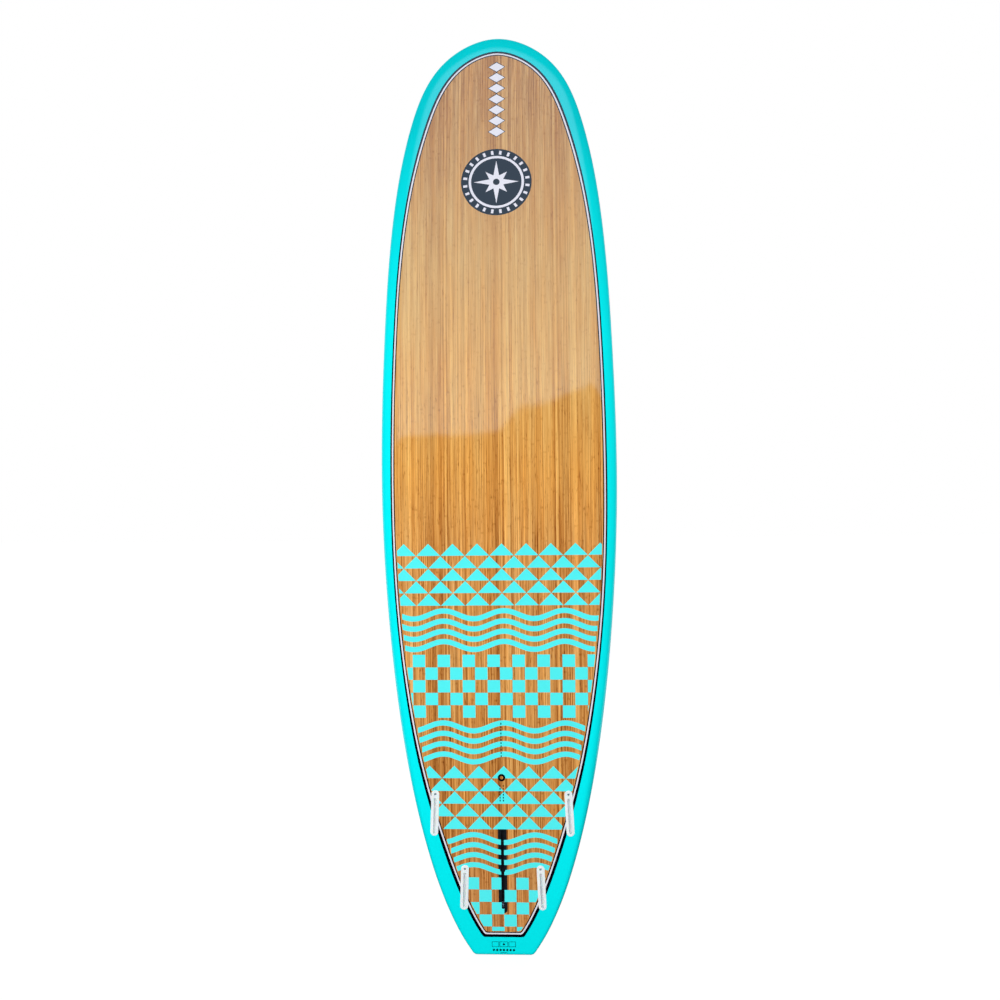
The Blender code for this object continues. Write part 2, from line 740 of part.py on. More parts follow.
def side_box_mesh():
    flange = outline_solid("side_flange", stadium(SIDE_BOX_WIDTH, SIDE_BOX_LENGTH),
                           -FLANGE_PROUD, SIDE_BOX_FLANGE)
    body = outline_solid("side_body", stadium(SIDE_BODY_WIDTH, SIDE_BODY_LENGTH),
                         SIDE_BOX_FLANGE / 2, SIDE_BODY_DEPTH)
    slot = outline_solid("side_slot", stadium(SIDE_SLOT_WIDTH, SIDE_SLOT_LENGTH, SLOT_STEPS),
                         -CUT_OUTSIDE, SIDE_SLOT_DEPTH, -SIDE_SLOT_DROP)
    bore = outline_solid("side_bore", circle(SIDE_BORE_RADIUS, SMALL_SEGMENTS),
                         -CUT_OUTSIDE, SIDE_BORE_DEPTH, SIDE_BORE_RISE)
    return combined("side_box", flange, [body], [slot, bore])


def set_screw_mesh():
    bottom = SET_SCREW_TOP + SET_SCREW_LENGTH
    chamfer = SET_SCREW_RADIUS / 5
    profile = [(0, SET_SCREW_TOP), (SET_SCREW_RADIUS - chamfer, SET_SCREW_TOP),
               (SET_SCREW_RADIUS, SET_SCREW_TOP + chamfer), (SET_SCREW_RADIUS, bottom - chamfer),
               (SET_SCREW_RADIUS - chamfer, bottom), (0, bottom)]
    screw = turned_solid("set_screw", profile, SMALL_SEGMENTS)
    socket = outline_solid("set_socket", circle(SET_SCREW_SOCKET_RADIUS, HEX_SIDES), -CUT_OUTSIDE,
                           SET_SCREW_TOP + SET_SCREW_SOCKET_DEPTH)
    return combined("set_screw", screw, cuts=[socket])


def add_side_boxes(skins, cores):
    box = side_box_mesh()
    screw = set_screw_mesh()
    for row, (reach, height, toe) in (("front", FRONT_BOX), ("rear", REAR_BOX)):
        for side, sign in (("left", -1), ("right", 1)):
            tag = f"{row}_{side}"
            place = surface_frame(sign * reach, height, False, -sign * toe)
            add_part(f"fin_box_{tag}", box.copy(), "clear_plastic", place)
            at_bore = place @ Matrix.Translation((0, 0, SIDE_BORE_RISE))
            add_part(f"set_screw_{tag}", screw.copy(), "stainless", at_bore)
            cut_skins(f"skin_opening_{tag}", stadium(SIDE_BOX_WIDTH + 2 * GAP,
                                                     SIDE_BOX_LENGTH + 2 * GAP), place, skins)
            pocket = outline_solid(f"pocket_{tag}", stadium(SIDE_BODY_WIDTH + 2 * GAP,
                                                            SIDE_BODY_LENGTH + 2 * GAP),
                                   -CUT_OUTSIDE, SIDE_BODY_DEPTH + GAP)
            fit_block(f"foam_{tag}", SIDE_BLOCK, SIDE_BLOCK_TOP, SIDE_BLOCK_DEPTH, pocket, place,
                      [cores[side]])


def add_centre_box(skins, hosts):
    place = surface_frame(0, CENTRE_BOX_AT, False)
    flange = outline_solid("centre_flange", stadium(CENTRE_BOX_WIDTH, CENTRE_BOX_LENGTH),
                           -FLANGE_PROUD, CENTRE_FLANGE)
    body = outline_solid("centre_body", stadium(CENTRE_BODY_WIDTH, CENTRE_BODY_LENGTH),
                         CENTRE_FLANGE / 2, CENTRE_BODY_DEPTH)
    slot = outline_solid("centre_slot", stadium(CENTRE_SLOT_WIDTH, CENTRE_SLOT_LENGTH, SLOT_STEPS),
                         -CUT_OUTSIDE, (CENTRE_CHANNEL_TOP + CENTRE_CHANNEL_DEPTH) / 2)
    channel_outline = rounded_rectangle(CENTRE_CHANNEL_WIDTH, CENTRE_SLOT_LENGTH, CHANNEL_CORNER,
                                        FINE_RECTANGLE_STEPS)
    channel = outline_solid("centre_channel", channel_outline, CENTRE_CHANNEL_TOP,
                            CENTRE_CHANNEL_DEPTH)
    entry = outline_solid("centre_entry", circle(CENTRE_ENTRY_RADIUS, ENTRY_SEGMENTS), -CUT_OUTSIDE,
                          CENTRE_CHANNEL_TOP + GAP)
    box = combined("centre_fin_box", flange, [body], [slot, channel, entry])
    add_part("centre_fin_box", box, "black_plastic", place)
    cut_skins("skin_opening_centre", stadium(CENTRE_BOX_WIDTH + 2 * GAP,
                                             CENTRE_BOX_LENGTH + 2 * GAP), place, skins)
    pocket = outline_solid("pocket_centre", stadium(CENTRE_BODY_WIDTH + 2 * GAP,
                                                    CENTRE_BODY_LENGTH + 2 * GAP),
                           -CUT_OUTSIDE, CENTRE_BODY_DEPTH + GAP)
    fit_block("foam_centre_box", CENTRE_BLOCK, CENTRE_BLOCK_TOP, CENTRE_BLOCK_DEPTH, pocket, place,
              hosts)
    add_fin_plate(place)


def add_fin_plate(box_place):
    """Threaded plate at the tail end of the channel, and the screw in it."""
    rest = -CENTRE_SLOT_LENGTH / 2 + FIN_PLATE_END_GAP + FIN_PLATE_LENGTH / 2
    place = box_place @ Matrix.Translation((0, 0, rest))
    outline = rounded_rectangle(FIN_PLATE_WIDTH, FIN_PLATE_LENGTH, PLATE_CORNER)
    plate = outline_solid("fin_plate", outline, FIN_PLATE_TOP, FIN_PLATE_TOP + FIN_PLATE_THICKNESS)
    bore = outline_solid("plate_bore", circle(FIN_PLATE_BORE, SMALL_SEGMENTS), 0, CUT_OUTSIDE * 2)
    add_part("fin_plate", combined("fin_plate", plate, cuts=[bore]), "stainless", place)
    head = FIN_SCREW_HEAD_TOP + FIN_SCREW_HEAD_HEIGHT
    rim = FIN_SCREW_HEAD_RADIUS / 4
    profile = [(0, FIN_SCREW_HEAD_TOP), (FIN_SCREW_HEAD_RADIUS - rim, FIN_SCREW_HEAD_TOP),
               (FIN_SCREW_HEAD_RADIUS, FIN_SCREW_HEAD_TOP + rim), (FIN_SCREW_HEAD_RADIUS, head),
               (FIN_SCREW_RADIUS, head), (FIN_SCREW_RADIUS, FIN_SCREW_TIP), (0, FIN_SCREW_TIP)]
    screw = turned_solid("fin_screw", profile, SMALL_SEGMENTS)
    socket = outline_solid("fin_socket", circle(FIN_SCREW_SOCKET_RADIUS, HEX_SIDES), 0,
                           FIN_SCREW_HEAD_TOP + FIN_SCREW_SOCKET_DEPTH)
    add_part("fin_screw", combined("fin_screw", screw, cuts=[socket]), "stainless", place)


def add_handle(deck, hosts):
    place = surface_frame(0, HANDLE_AT, True)
    flange = outline_solid("handle_flange", rounded_rectangle(*HANDLE_FLANGE, HANDLE_CORNER),
                           -FLANGE_PROUD * 2, HANDLE_FLANGE_THICKNESS)
    body = outline_solid("handle_body", grown_rectangle(HANDLE_CUP, 0, HANDLE_CORNER / 2),
                         0, HANDLE_DEPTH)
    pocket = outline_solid("handle_pocket",
                           grown_rectangle(HANDLE_CUP, -HANDLE_WALL, HANDLE_CORNER / 2),
                           -CUT_OUTSIDE, HANDLE_DEPTH - HANDLE_WALL)
    add_part("handle_cup", combined("handle_cup", flange, [body], [pocket]), "black_plastic", place)
    inside = HANDLE_CUP[1] - 2 * HANDLE_WALL - 2 * GAP
    at_bar = place @ Matrix.Translation((0, HANDLE_BAR_DEPTH, 0))
    bar = cylinder_along("handle_bar", HANDLE_BAR_RADIUS, inside, "Z")
    add_part("handle_bar", bar, "black_plastic", at_bar)
    sleeve = cylinder_along("handle_grip", HANDLE_GRIP_RADIUS, HANDLE_GRIP_LENGTH, "Z")
    bore = cylinder_along("grip_bore", HANDLE_BAR_RADIUS + GAP, inside, "Z")
    add_part("handle_grip", combined("handle_grip", sleeve, cuts=[bore]), "soft_rubber", at_bar)
    opening = grown_rectangle(HANDLE_FLANGE, GAP, HANDLE_CORNER)
    cut_skins("skin_opening_handle", opening, place, [deck])
    room = outline_solid("pocket_handle", grown_rectangle(HANDLE_CUP, GAP, HANDLE_CORNER / 2),
                         -CUT_OUTSIDE, HANDLE_DEPTH + GAP)
    fit_block("foam_handle", HANDLE_BLOCK, HANDLE_BLOCK_TOP, HANDLE_BLOCK_DEPTH, room, place, hosts)


def add_vent(deck, core):
    place = surface_frame(*VENT_AT, True)
    profile = [(VENT_RECESS_RADIUS, -VENT_PROUD), (VENT_FLANGE_RADIUS, -VENT_PROUD),
               (VENT_FLANGE_RADIUS, VENT_FLANGE_THICKNESS), (VENT_BODY_RADIUS, VENT_FLANGE_THICKNESS),
               (VENT_BODY_RADIUS, VENT_DEPTH), (0, VENT_DEPTH)]
    inner = [(0, VENT_BORE_DEPTH), (VENT_BORE_RADIUS, VENT_BORE_DEPTH),
             (VENT_BORE_RADIUS, VENT_RECESS_DEPTH), (VENT_RECESS_RADIUS, VENT_RECESS_DEPTH)]
    body = turned_solid("vent_body", inner + profile)
    add_part("vent_body", body, "black_plastic", place)
    head = VENT_HEAD_TOP + VENT_HEAD_HEIGHT
    rim = VENT_HEAD_RADIUS / 8
    shape = [(0, VENT_HEAD_TOP), (VENT_HEAD_RADIUS - rim, VENT_HEAD_TOP),
             (VENT_HEAD_RADIUS, VENT_HEAD_TOP + rim), (VENT_HEAD_RADIUS, head),
             (VENT_SHANK_RADIUS, head), (VENT_SHANK_RADIUS, VENT_SHANK_TIP), (0, VENT_SHANK_TIP)]
    screw = turned_solid("vent_screw", shape)
    length, width, depth = VENT_COIN_SLOT
    slot = outline_solid("coin_slot", rounded_rectangle(width, length, width / 4, 1), -CUT_OUTSIDE,
                         VENT_HEAD_TOP + depth)
    add_part("vent_screw", combined("vent_screw", screw, cuts=[slot]), "black_plastic", place)
    bpy.ops.mesh.primitive_torus_add(major_radius=VENT_SEAL_RADIUS, minor_radius=VENT_SEAL_SECTION,
                                     major_segments=ROUND_SEGMENTS, minor_segments=SEAL_SEGMENTS)
    torus = bpy.context.object
    ring_mesh = torus.data.copy()
    bpy.data.objects.remove(torus, do_unlink=True)
    ring_mesh.transform(Matrix.Rotation(math.pi / 2, 4, "X"))
    seal_depth = (head + VENT_RECESS_DEPTH) / 2
    add_part("vent_seal", ring_mesh, "soft_rubber", place @ Matrix.Translation((0, seal_depth, 0)))
    cut_skins("skin_opening_vent", circle(VENT_FLANGE_RADIUS + GAP), place, [deck])
    pocket = outline_solid("pocket_vent", circle(VENT_BODY_RADIUS + GAP), -CUT_OUTSIDE,
                           VENT_DEPTH + GAP)
    fit_block("foam_vent", VENT_BLOCK, VENT_BLOCK_TOP, VENT_BLOCK_DEPTH, pocket, place, [core])


def add_leash_plug(deck, hosts):
    place = surface_frame(0, LEASH_AT, True)
    profile = [(0, LEASH_POCKET_DEPTH), (LEASH_POCKET_RADIUS, LEASH_POCKET_DEPTH),
               (LEASH_POCKET_RADIUS, -FLANGE_PROUD), (LEASH_FLANGE_RADIUS, -FLANGE_PROUD),
               (LEASH_FLANGE_RADIUS, LEASH_FLANGE_THICKNESS),
               (LEASH_BODY_RADIUS, LEASH_FLANGE_THICKNESS), (LEASH_BODY_RADIUS, LEASH_DEPTH),
               (0, LEASH_DEPTH)]
    cup = turned_solid("leash_cup", profile)
    at_pin = Matrix.Translation((0, LEASH_PIN_DEPTH, 0))
    bore = cylinder_along("leash_bore", LEASH_PIN_BORE, LEASH_BODY_RADIUS * 3, "X", SMALL_SEGMENTS)
    bore.transform(at_pin)
    add_part("leash_cup", combined("leash_cup", cup, cuts=[bore]), "black_plastic", place)
    pin = cylinder_along("leash_pin", LEASH_PIN_RADIUS, LEASH_PIN_LENGTH, "X", SMALL_SEGMENTS)
    add_part("leash_pin", pin, "stainless", place @ at_pin)
    cut_skins("skin_opening_leash", circle(LEASH_FLANGE_RADIUS + GAP), place, [deck])
    pocket = outline_solid("pocket_leash", circle(LEASH_BODY_RADIUS + GAP), -CUT_OUTSIDE,
                           LEASH_DEPTH + GAP)
    fit_block("foam_leash", LEASH_BLOCK, LEASH_BLOCK_TOP, LEASH_BLOCK_DEPTH, pocket, place, hosts)


# ---------------------------------------------------------------- deck pads
def pad_edge(z):
    """Half width of the grip pad at a height, rounded in towards its nose end."""
    inset = SIDE + inward_normals(SIDE) * PAD_INSET
    half = np.interp(z, inset[:, 1], inset[:, 0])
    start = PAD_MAIN[1] - PAD_NOSE_ROUND
    share = np.clip((z - start) / PAD_NOSE_ROUND, 0, PAD_NOSE_LIMIT)
    return half * (1 - share ** PAD_NOSE_POWER) ** (1 / PAD_NOSE_POWER)


def pad_mesh(name, low, high, left, right):
    """Sheet lofted between two edge lines across the deck; left and right give x at a height."""
    rows = max(2, round((high - low) / PAD_ROW))
    heights = [low + (high - low) * math.sin(math.pi / 2 * k / rows) if high == PAD_MAIN[1]
               else low + (high - low) * k / rows for k in range(rows + 1)]
    widest = max(right(z) - left(z) for z in heights)
    columns = round(widest / PAD_COLUMN)
    vertices = []
    for z in heights:
        for k in range(columns + 1):
            x = left(z) + (right(z) - left(z)) * k / columns
            y = float(bottom_line(z) + thickness(z) - crown(x)) + PAD_GLUE
            vertices.append((x, y, z))
    width = columns + 1
    faces = [(r * width + c, (r + 1) * width + c, (r + 1) * width + c + 1, r * width + c + 1)
             for r in range(rows) for c in range(columns)]
    return mesh_from(name, vertices, faces)


def add_pads():
    opening = outline_solid("pad_opening", grown_rectangle(PAD_OPENING, 0, PAD_OPENING_CORNER),
                            -CUT_OUTSIDE * 2, CUT_OUTSIDE * 2)
    cutter = add_cutter("pad_opening", opening, surface_frame(0, HANDLE_AT, True))
    sheets = {
        "deck_pad_right": (*PAD_MAIN, lambda z: PAD_CENTRE_GAP, pad_edge),
        "deck_pad_left": (*PAD_MAIN, lambda z: -pad_edge(z), lambda z: -PAD_CENTRE_GAP),
        "deck_pad_tail": (*PAD_TAIL, lambda z: -pad_edge(z), pad_edge),
    }
    for name, (low, high, left, right) in sheets.items():
        obj = add_part(name, pad_mesh(name, low, high, left, right), "eva_foam")
        sheet = obj.modifiers.new("thickness", "SOLIDIFY")
        sheet.thickness = PAD_THICKNESS
        sheet.offset = 1
        if name != "deck_pad_tail":
            cut(obj, cutter)


# ---------------------------------------------------------------- the board
clear_scene()
BOARD = new_collection("stand_up_paddleboard")
CUTTERS = new_collection("cutters")

SIDE = side_curve()
EDGE = outline_edge()
RAIL_UNDER_AT = cubic_spline(RAIL_STATIONS, RAIL_UNDER)
RAIL_OVER_AT = cubic_spline(RAIL_STATIONS, RAIL_OVER)
BAND_UNDER_AT = cubic_spline(BAND_STATIONS, BAND_UNDER)

hull_mesh = build_hull()
bottom_skin = add_skin(hull_mesh, "bottom_veneer", "bottom", "bamboo")
deck_skin = add_skin(hull_mesh, "deck_veneer", "deck", "bamboo_deck")
rail_skin = add_skin(hull_mesh, "rail_wrap", "rail", "turquoise_paint")

half_stringer = STRINGER_WIDTH / 2
core_halves = {
    "left": add_part("core_left", inner_solid(hull_mesh, "core_left", None, -half_stringer - GAP),
                     "eps_foam"),
    "right": add_part("core_right", inner_solid(hull_mesh, "core_right", half_stringer + GAP, None),
                      "eps_foam"),
}
stringer = add_part("stringer", inner_solid(hull_mesh, "stringer", -half_stringer, half_stringer),
                    "stringer_wood")
middle = [core_halves["left"], stringer, core_halves["right"]]

add_side_boxes([bottom_skin, rail_skin], core_halves)
add_centre_box([bottom_skin], middle)
add_handle(deck_skin, middle)
add_vent(deck_skin, core_halves["right"])
add_leash_plug(deck_skin, middle)
add_pads()
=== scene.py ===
"""Looks of the stand up paddleboard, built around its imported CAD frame.

Frame: +Z from tail to nose, -Y out of the bottom, +Y out of the deck. All lengths are in metres.
"""

import json
import math
from collections import namedtuple

import bmesh
import bpy
import numpy as np
from mathutils import Matrix, Vector
from mathutils.geometry import delaunay_2d_cdt
from mathutils.kdtree import KDTree

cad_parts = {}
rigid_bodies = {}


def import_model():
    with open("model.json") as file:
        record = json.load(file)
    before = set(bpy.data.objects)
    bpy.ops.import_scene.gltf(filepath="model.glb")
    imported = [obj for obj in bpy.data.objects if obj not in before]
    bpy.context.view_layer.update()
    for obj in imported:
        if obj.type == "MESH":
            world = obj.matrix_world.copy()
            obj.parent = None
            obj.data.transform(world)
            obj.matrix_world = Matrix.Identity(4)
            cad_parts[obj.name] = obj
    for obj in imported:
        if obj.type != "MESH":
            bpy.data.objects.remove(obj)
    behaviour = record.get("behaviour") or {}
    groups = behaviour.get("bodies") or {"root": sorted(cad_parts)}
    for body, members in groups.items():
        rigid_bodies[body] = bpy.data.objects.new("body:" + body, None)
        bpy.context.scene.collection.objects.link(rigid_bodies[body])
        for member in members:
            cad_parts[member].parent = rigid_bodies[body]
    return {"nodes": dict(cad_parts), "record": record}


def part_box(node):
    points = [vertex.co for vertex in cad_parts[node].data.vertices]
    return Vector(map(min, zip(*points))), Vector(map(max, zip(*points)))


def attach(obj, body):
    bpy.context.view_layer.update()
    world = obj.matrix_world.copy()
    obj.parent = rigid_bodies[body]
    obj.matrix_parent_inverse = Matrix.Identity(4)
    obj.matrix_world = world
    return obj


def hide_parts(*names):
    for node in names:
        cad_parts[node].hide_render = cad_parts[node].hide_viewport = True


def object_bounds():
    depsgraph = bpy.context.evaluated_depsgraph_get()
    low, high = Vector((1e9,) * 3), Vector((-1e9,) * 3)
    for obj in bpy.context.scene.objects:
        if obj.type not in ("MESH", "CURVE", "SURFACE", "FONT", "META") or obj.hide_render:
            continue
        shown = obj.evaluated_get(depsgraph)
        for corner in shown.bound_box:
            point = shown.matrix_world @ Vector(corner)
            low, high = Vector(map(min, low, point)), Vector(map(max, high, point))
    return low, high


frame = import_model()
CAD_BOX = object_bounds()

# ---------------------------------------------------------------- hull, as in the CAD model
LENGTH = CAD_BOX[1].z - CAD_BOX[0].z
HALF_WIDTH = 0.363
MID_THICKNESS = 0.108
NOSE_THICKNESS = 0.022
TAIL_THICKNESS = 0.026
THICKEST_AT = 1.35
THICKNESS_POWER = 2.2
NOSE_ROCKER = 0.172
NOSE_ROCKER_POWER = 2.6
TAIL_ROCKER = 0.055
TAIL_ROCKER_POWER = 2.2
FLAT_SPOT_AT = 1.15
DECK_CROWN = 0.028

# Stations of the outline, (height from the tail, half width), from tail corner to nose tip.
OUTLINE = (
    (0.000, 0.0923), (0.050, 0.1245), (0.120, 0.1602), (0.300, 0.2242), (0.600, 0.2915),
    (1.000, 0.3409), (1.450, 0.3628), (1.900, 0.3530), (2.300, 0.3250), (2.600, 0.2713),
    (2.800, 0.1814), (2.873, 0.0900), (LENGTH, 0.0),
)
MIRRORED_STATIONS = 3
TAIL_CORNER_RADIUS = 0.020

# Depth of the rail's round in from the outline, under and over the edge, by height.
RAIL_STATIONS = (0.00, 0.30, 0.80, 1.45, 2.30, LENGTH)
RAIL_UNDER = (0.010, 0.015, 0.040, 0.075, 0.065, 0.045)
RAIL_OVER = (0.010, 0.040, 0.070, 0.085, 0.080, 0.050)
RAIL_UNDER_SHARE = 0.45
WALL_SHARE_TAIL = 0.5
WALL_SHARE_MID = 0.05
WALL_FADE_HEIGHT = 0.15

# ---------------------------------------------------------------- painted band, lines and skins
# Width of the paint in from the outline, on the bottom by height and evenly on the deck.
BAND_STATIONS = (0.00, 0.33, 0.62, 0.80, 1.10, 1.50, 2.05, 2.35, 2.68, LENGTH)
BAND_UNDER = (0.0575, 0.0501, 0.0369, 0.0321, 0.0285, 0.0312, 0.0315, 0.0372, 0.0482, 0.0496)
BAND_UNDER_END = 0.0590
BAND_OVER = 0.055
BAND_OVER_END = 0.050
BAND_CORNER_RADIUS = 0.012

# The border from the painted band inwards: a black line, a white line and a thin black line.
LINE_STATIONS = (0.00, 0.30, 0.50, 0.95, 1.45, 2.30, 2.60, LENGTH)
OUTER_LINE = (0.0090, 0.0092, 0.0082, 0.0052, 0.0048, 0.0050, 0.0064, 0.0068)
WHITE_LINE = 0.0047
INNER_LINE = 0.0034
PRINT_MARGIN = 0.0026
DECK_OUTER_LINE = 0.0030
DECK_WHITE_LINE = 0.0042
DECK_INNER_LINE = 0.0022

RAIL_SHELL = 0.0015
SKIN_SHEET = 0.0006
GAP = 0.0003

# ---------------------------------------------------------------- mesh density
OUTLINE_SAMPLES = 900
END_STEPS = 10
CORNER_STEPS = 8
CORNER_SAMPLES = 17
SIDE_STEPS = 260
EDGE_SAMPLES = 20
ROUND_STEPS = 24
CIRCLE_STEPS = 48
RECTANGLE_STEPS = 10
EMBLEM_STEPS = 96
STRAIGHT_STEP = 0.008
PAD_STEPS = 90
TURN_WEIGHT = 0.25
RAIL_RINGS = 12
GRID_X = 0.0125
GRID_Z = 0.0150
EDGE_RINGS = (0.004, 0.010, 0.018, 0.028, 0.040)
SLOPE_STEP = 0.0004
MERGE = 0.00001
PLAN_MERGE = 0.000001
SMOOTH_ANGLE = math.radians(35)

# ---------------------------------------------------------------- print on the bottom
# Heights are from the tail; rows and waves are counted downwards, periods and phases go across.
Triangles = namedtuple("Triangles", "top row rows period phase")
Waves = namedtuple("Waves", "first step count period phase")
Checks = namedtuple("Checks", "top row rows period phase")

PRINT_BANDS = {
    "print_triangles_upper": Triangles(1.2829, 0.0381, 5, 0.0750, 0.0080),
    "print_waves_upper": Waves(1.0653, 0.0313, 4, 0.1845, 0.0130),
    "print_checks_upper": Checks(0.9432, 0.0390, 5, 0.07633, 0.0565),
    "print_waves_middle": Waves(0.7212, 0.0320, 4, 0.1870, 0.0100),
    "print_triangles_lower": Triangles(0.6007, 0.0398, 5, 0.0759, 0.0072),
    "print_waves_lower": Waves(0.3734, 0.0316, 4, 0.1900, 0.1010),
    "print_checks_lower": Checks(0.2503, 0.0395, 5, 0.0766, 0.0605),
}
PRINT_GAP = 0.0012
# Width of a check as a share of its period.
CHECK_SHARE = 0.505
WAVE_HEIGHT = 0.0122
WAVE_STROKE = 0.0162
WAVE_STEP = 0.004
PRINT_OVERHANG = 0.003

# Compass badge: radii of its ring, ticks (near, far, half width), long and short rays with the
# valleys between them, all as shares of the badge's own radii.
EMBLEM_AT = (0.000, 2.4050)
EMBLEM_RADII = (0.1100, 0.1080)
EMBLEM_RING = (0.715, 0.785)
EMBLEM_TICKS = 24
EMBLEM_TICK = (0.830, 0.945, 0.035)
EMBLEM_STAR = ((0.640, 0.210), (0.430, 0.210))
EMBLEM_POINTS = 8
EMBLEM_HUB = 0.095

# Column of lozenges near the nose.
MOTIF_AT = (0.001, 2.681)
MOTIF_LENGTH = 0.258
MOTIF_COUNT = 7
MOTIF_WIDTH = 0.050
MOTIF_EDGE = 0.0028
MOTIF_SHARE = 0.86

# Marks on the centre line: rows of dashes (start, end, count, half width, place across) and a
# ring (height, outer radius, inner radius).
DASH_SHARE = 0.6
CENTRE_DASHES = ((0.628, 0.738, 11, 0.0016, 0.0), (0.490, 0.545, 6, 0.0016, -0.005),
                 (0.490, 0.545, 6, 0.0016, 0.005))
CENTRE_RING = (0.5640, 0.0115, 0.0050)

# Plain marks on the tail, in black on the paint: three frames, a row of diamonds and a dash.
# Each frame by place across and half width; the diamonds by height, count, pitch and half sizes;
# the dash by its ends and half width.
TAIL_FRAMES = ((-0.0260, 0.0110), (0.0, 0.0130), (0.0260, 0.0110))
TAIL_FRAME_AT = (0.0270, 0.0445)
TAIL_LINE = 0.0014
TAIL_DIAMONDS = (0.0170, 7, 0.0104, 0.0044, 0.0046)
TAIL_DASH = (0.0072, 0.0088, 0.0110)
MARK_PROUD = 0.00008
MARK_DEPTH = MARK_PROUD * 0.8

# ---------------------------------------------------------------- fittings, as in the CAD model
FLANGE_PROUD = 0.0006
# Sizes of two numbers are width and length; drops and rises are along the box from its middle.
SIDE_BOX = (0.0245, 0.1430)
SIDE_BODY = (0.0180, 0.1350)
SIDE_BODY_DEPTH = 0.021
SIDE_FLANGE = 0.0016
SIDE_SLOT = (0.0072, 0.1120)
SIDE_SLOT_DEPTH = 0.0160
SIDE_SLOT_DROP = 0.0095
SIDE_BORE_RADIUS = 0.0034
SIDE_BORE_RISE = 0.0590
SIDE_BORE_DEPTH = 0.0135
SKIN_LAP = 0.0030

CENTRE_BOX = (0.0270, 0.2800)
CENTRE_BODY = (0.0225, 0.2720)
CENTRE_BODY_DEPTH = 0.025
CENTRE_FLANGE = 0.0028
CENTRE_SLOT = (0.0094, 0.2500)
CENTRE_CHANNEL_WIDTH = 0.0160
CENTRE_CHANNEL_TOP = 0.0085
CENTRE_CHANNEL_DEPTH = 0.0185
CENTRE_ENTRY_RADIUS = 0.0085
CENTRE_PLATE_DROP = 0.115

HANDLE_FLANGE = (0.122, 0.168)
HANDLE_CUP = (0.105, 0.151)
HANDLE_WALL = 0.0035
HANDLE_DEPTH = 0.042
HANDLE_CORNER = 0.020
HANDLE_BAR_DEPTH = 0.0160
# Radius and chamfer of the rods.
HANDLE_BAR = (0.0060, 0.0006)
LEASH_PIN = (0.0020, 0.0003)
LEASH_PIN_HALF = 0.0160
LEASH_PIN_DEPTH = 0.0055
VENT_RADIUS = 0.017
LEASH_RADIUS = 0.020

PAD_BASE = 0.0002
PAD_TOP = 0.0060
PAD_INSET = 0.092
PAD_CENTRE_GAP = 0.0020
PAD_MAIN = (0.640, 2.020)
PAD_TAIL = (0.135, 0.632)
PAD_NOSE_ROUND = 0.300
PAD_NOSE_POWER = 2.6
PAD_OPENING = (0.140, 0.186)
PAD_OPENING_CORNER = 0.024
PAD_CORNER = 0.025
# Each (distance in from the pad's edge, drop below its top).
PAD_BEVEL = ((0.0, 0.0030), (0.0008, 0.0012), (0.0022, 0.0))
GROOVE_SPACING = 0.0300
GROOVE_SLOPE = 1.75
GROOVE_HALF = 0.0016
GROOVE_DEPTH = 0.0016

# ---------------------------------------------------------------- camera and stage
CAMERA_PLACE = (0.164, -3.241, 1.431)
CAMERA_YAW = math.radians(2.87)
CAMERA_PITCH = math.radians(-0.29)
CAMERA_ROLL = math.radians(-0.595)
CAMERA_LENS = 37.53

# Soft lights: place and power; all have one size and aim at one height on the board.
LIGHTS = {"key": ((-1.0, -4.4, 0.7), 178.0), "back": ((1.6, 4.4, 2.4), 90.0)}
LIGHT_SIZE = (3.0, 2.6)
LIGHT_AIM = (0, 0, 1.0)

FILL_BELOW = (1.14, 1.14, 1.15)
FILL_ABOVE = (0.68, 0.68, 0.69)
FILL_REACH = 0.6
FLOOR_HALF = 30.0
FLOOR_DROP = 0.001
# Share of light that the floor reflects, and how much of it the floor's own glow leaves out.
FLOOR_SHADOW = 0.12
FLOOR_GLOW_LOSS = 0.62

# What the resin mirrors, by direction: (sideways, height) slopes against the way to the front.
SKYLINE = 0.122
SKYLINE_STEPS = (-0.055, -0.030, 0.055)
SKYLINE_RISES = (0.045, 0.040)
SKYLINE_WAVE = 0.006
SKYLINE_SCALE = 22.0
SKYLINE_BLUR = 0.006
SKY_FRONT = (0.05, -0.05)
SKY_TOP = (1.25, 1.65)
SKY_SIDES = (0.35, 0.70)
SKY_MIRROR = (1.10, 1.55, 2.15)
HAZE_MIRROR = (1.15, 2.30, 2.80)
HAZE_HEIGHT = 0.14
DARK_MIRROR = (0.015, 0.017, 0.022)
BACK_MIRROR = (0.85, 0.92, 1.00)
BACK_DEPTH = (0.1, 0.5)
BACK_FOOT = (-0.40, -0.36)

# ---------------------------------------------------------------- colours
# Turquoise paint by height from the tail, brightest in the middle; the darker colours towards the
# nose are painted shade.
RAIL_TONES_AND_SHADE = (
    (0.00, (0.0008, 0.860, 0.890)), (0.45, (0.0008, 0.880, 0.915)), (0.95, (0.0008, 0.940, 0.975)),
    (1.90, (0.0008, 0.935, 0.970)), (2.30, (0.0008, 0.800, 0.840)), (2.60, (0.0010, 0.655, 0.710)),
    (2.85, (0.0010, 0.680, 0.730)),
)
# Part of a noise's range that variations follow.
NOISE_RANGE = (0.3, 0.7)

# Roughness of the clear resin, and how much rougher its worn patches are.
RESIN = 0.03
DECK_RESIN = 0.06
RESIN_WEAR = 1.6

BAMBOO_STRIP = 0.0092
BAMBOO_SPLITS = 3.0
BAMBOO_NODE_STEP = 0.270
BAMBOO_TINT = (1.0, 1.45, 1.95)
BAMBOO_WARMTH = (1.02, 0.88, 0.68)
# Strength of the bamboo's figure by height from the tail: strong between the print, softer above.
BAMBOO_FIGURE = ((1.20, 1.85), (1.95, 0.80))
# Added to that strength near the nose.
BAMBOO_NOSE_FIGURE = ((2.35, 0.0), (2.75, 0.65))
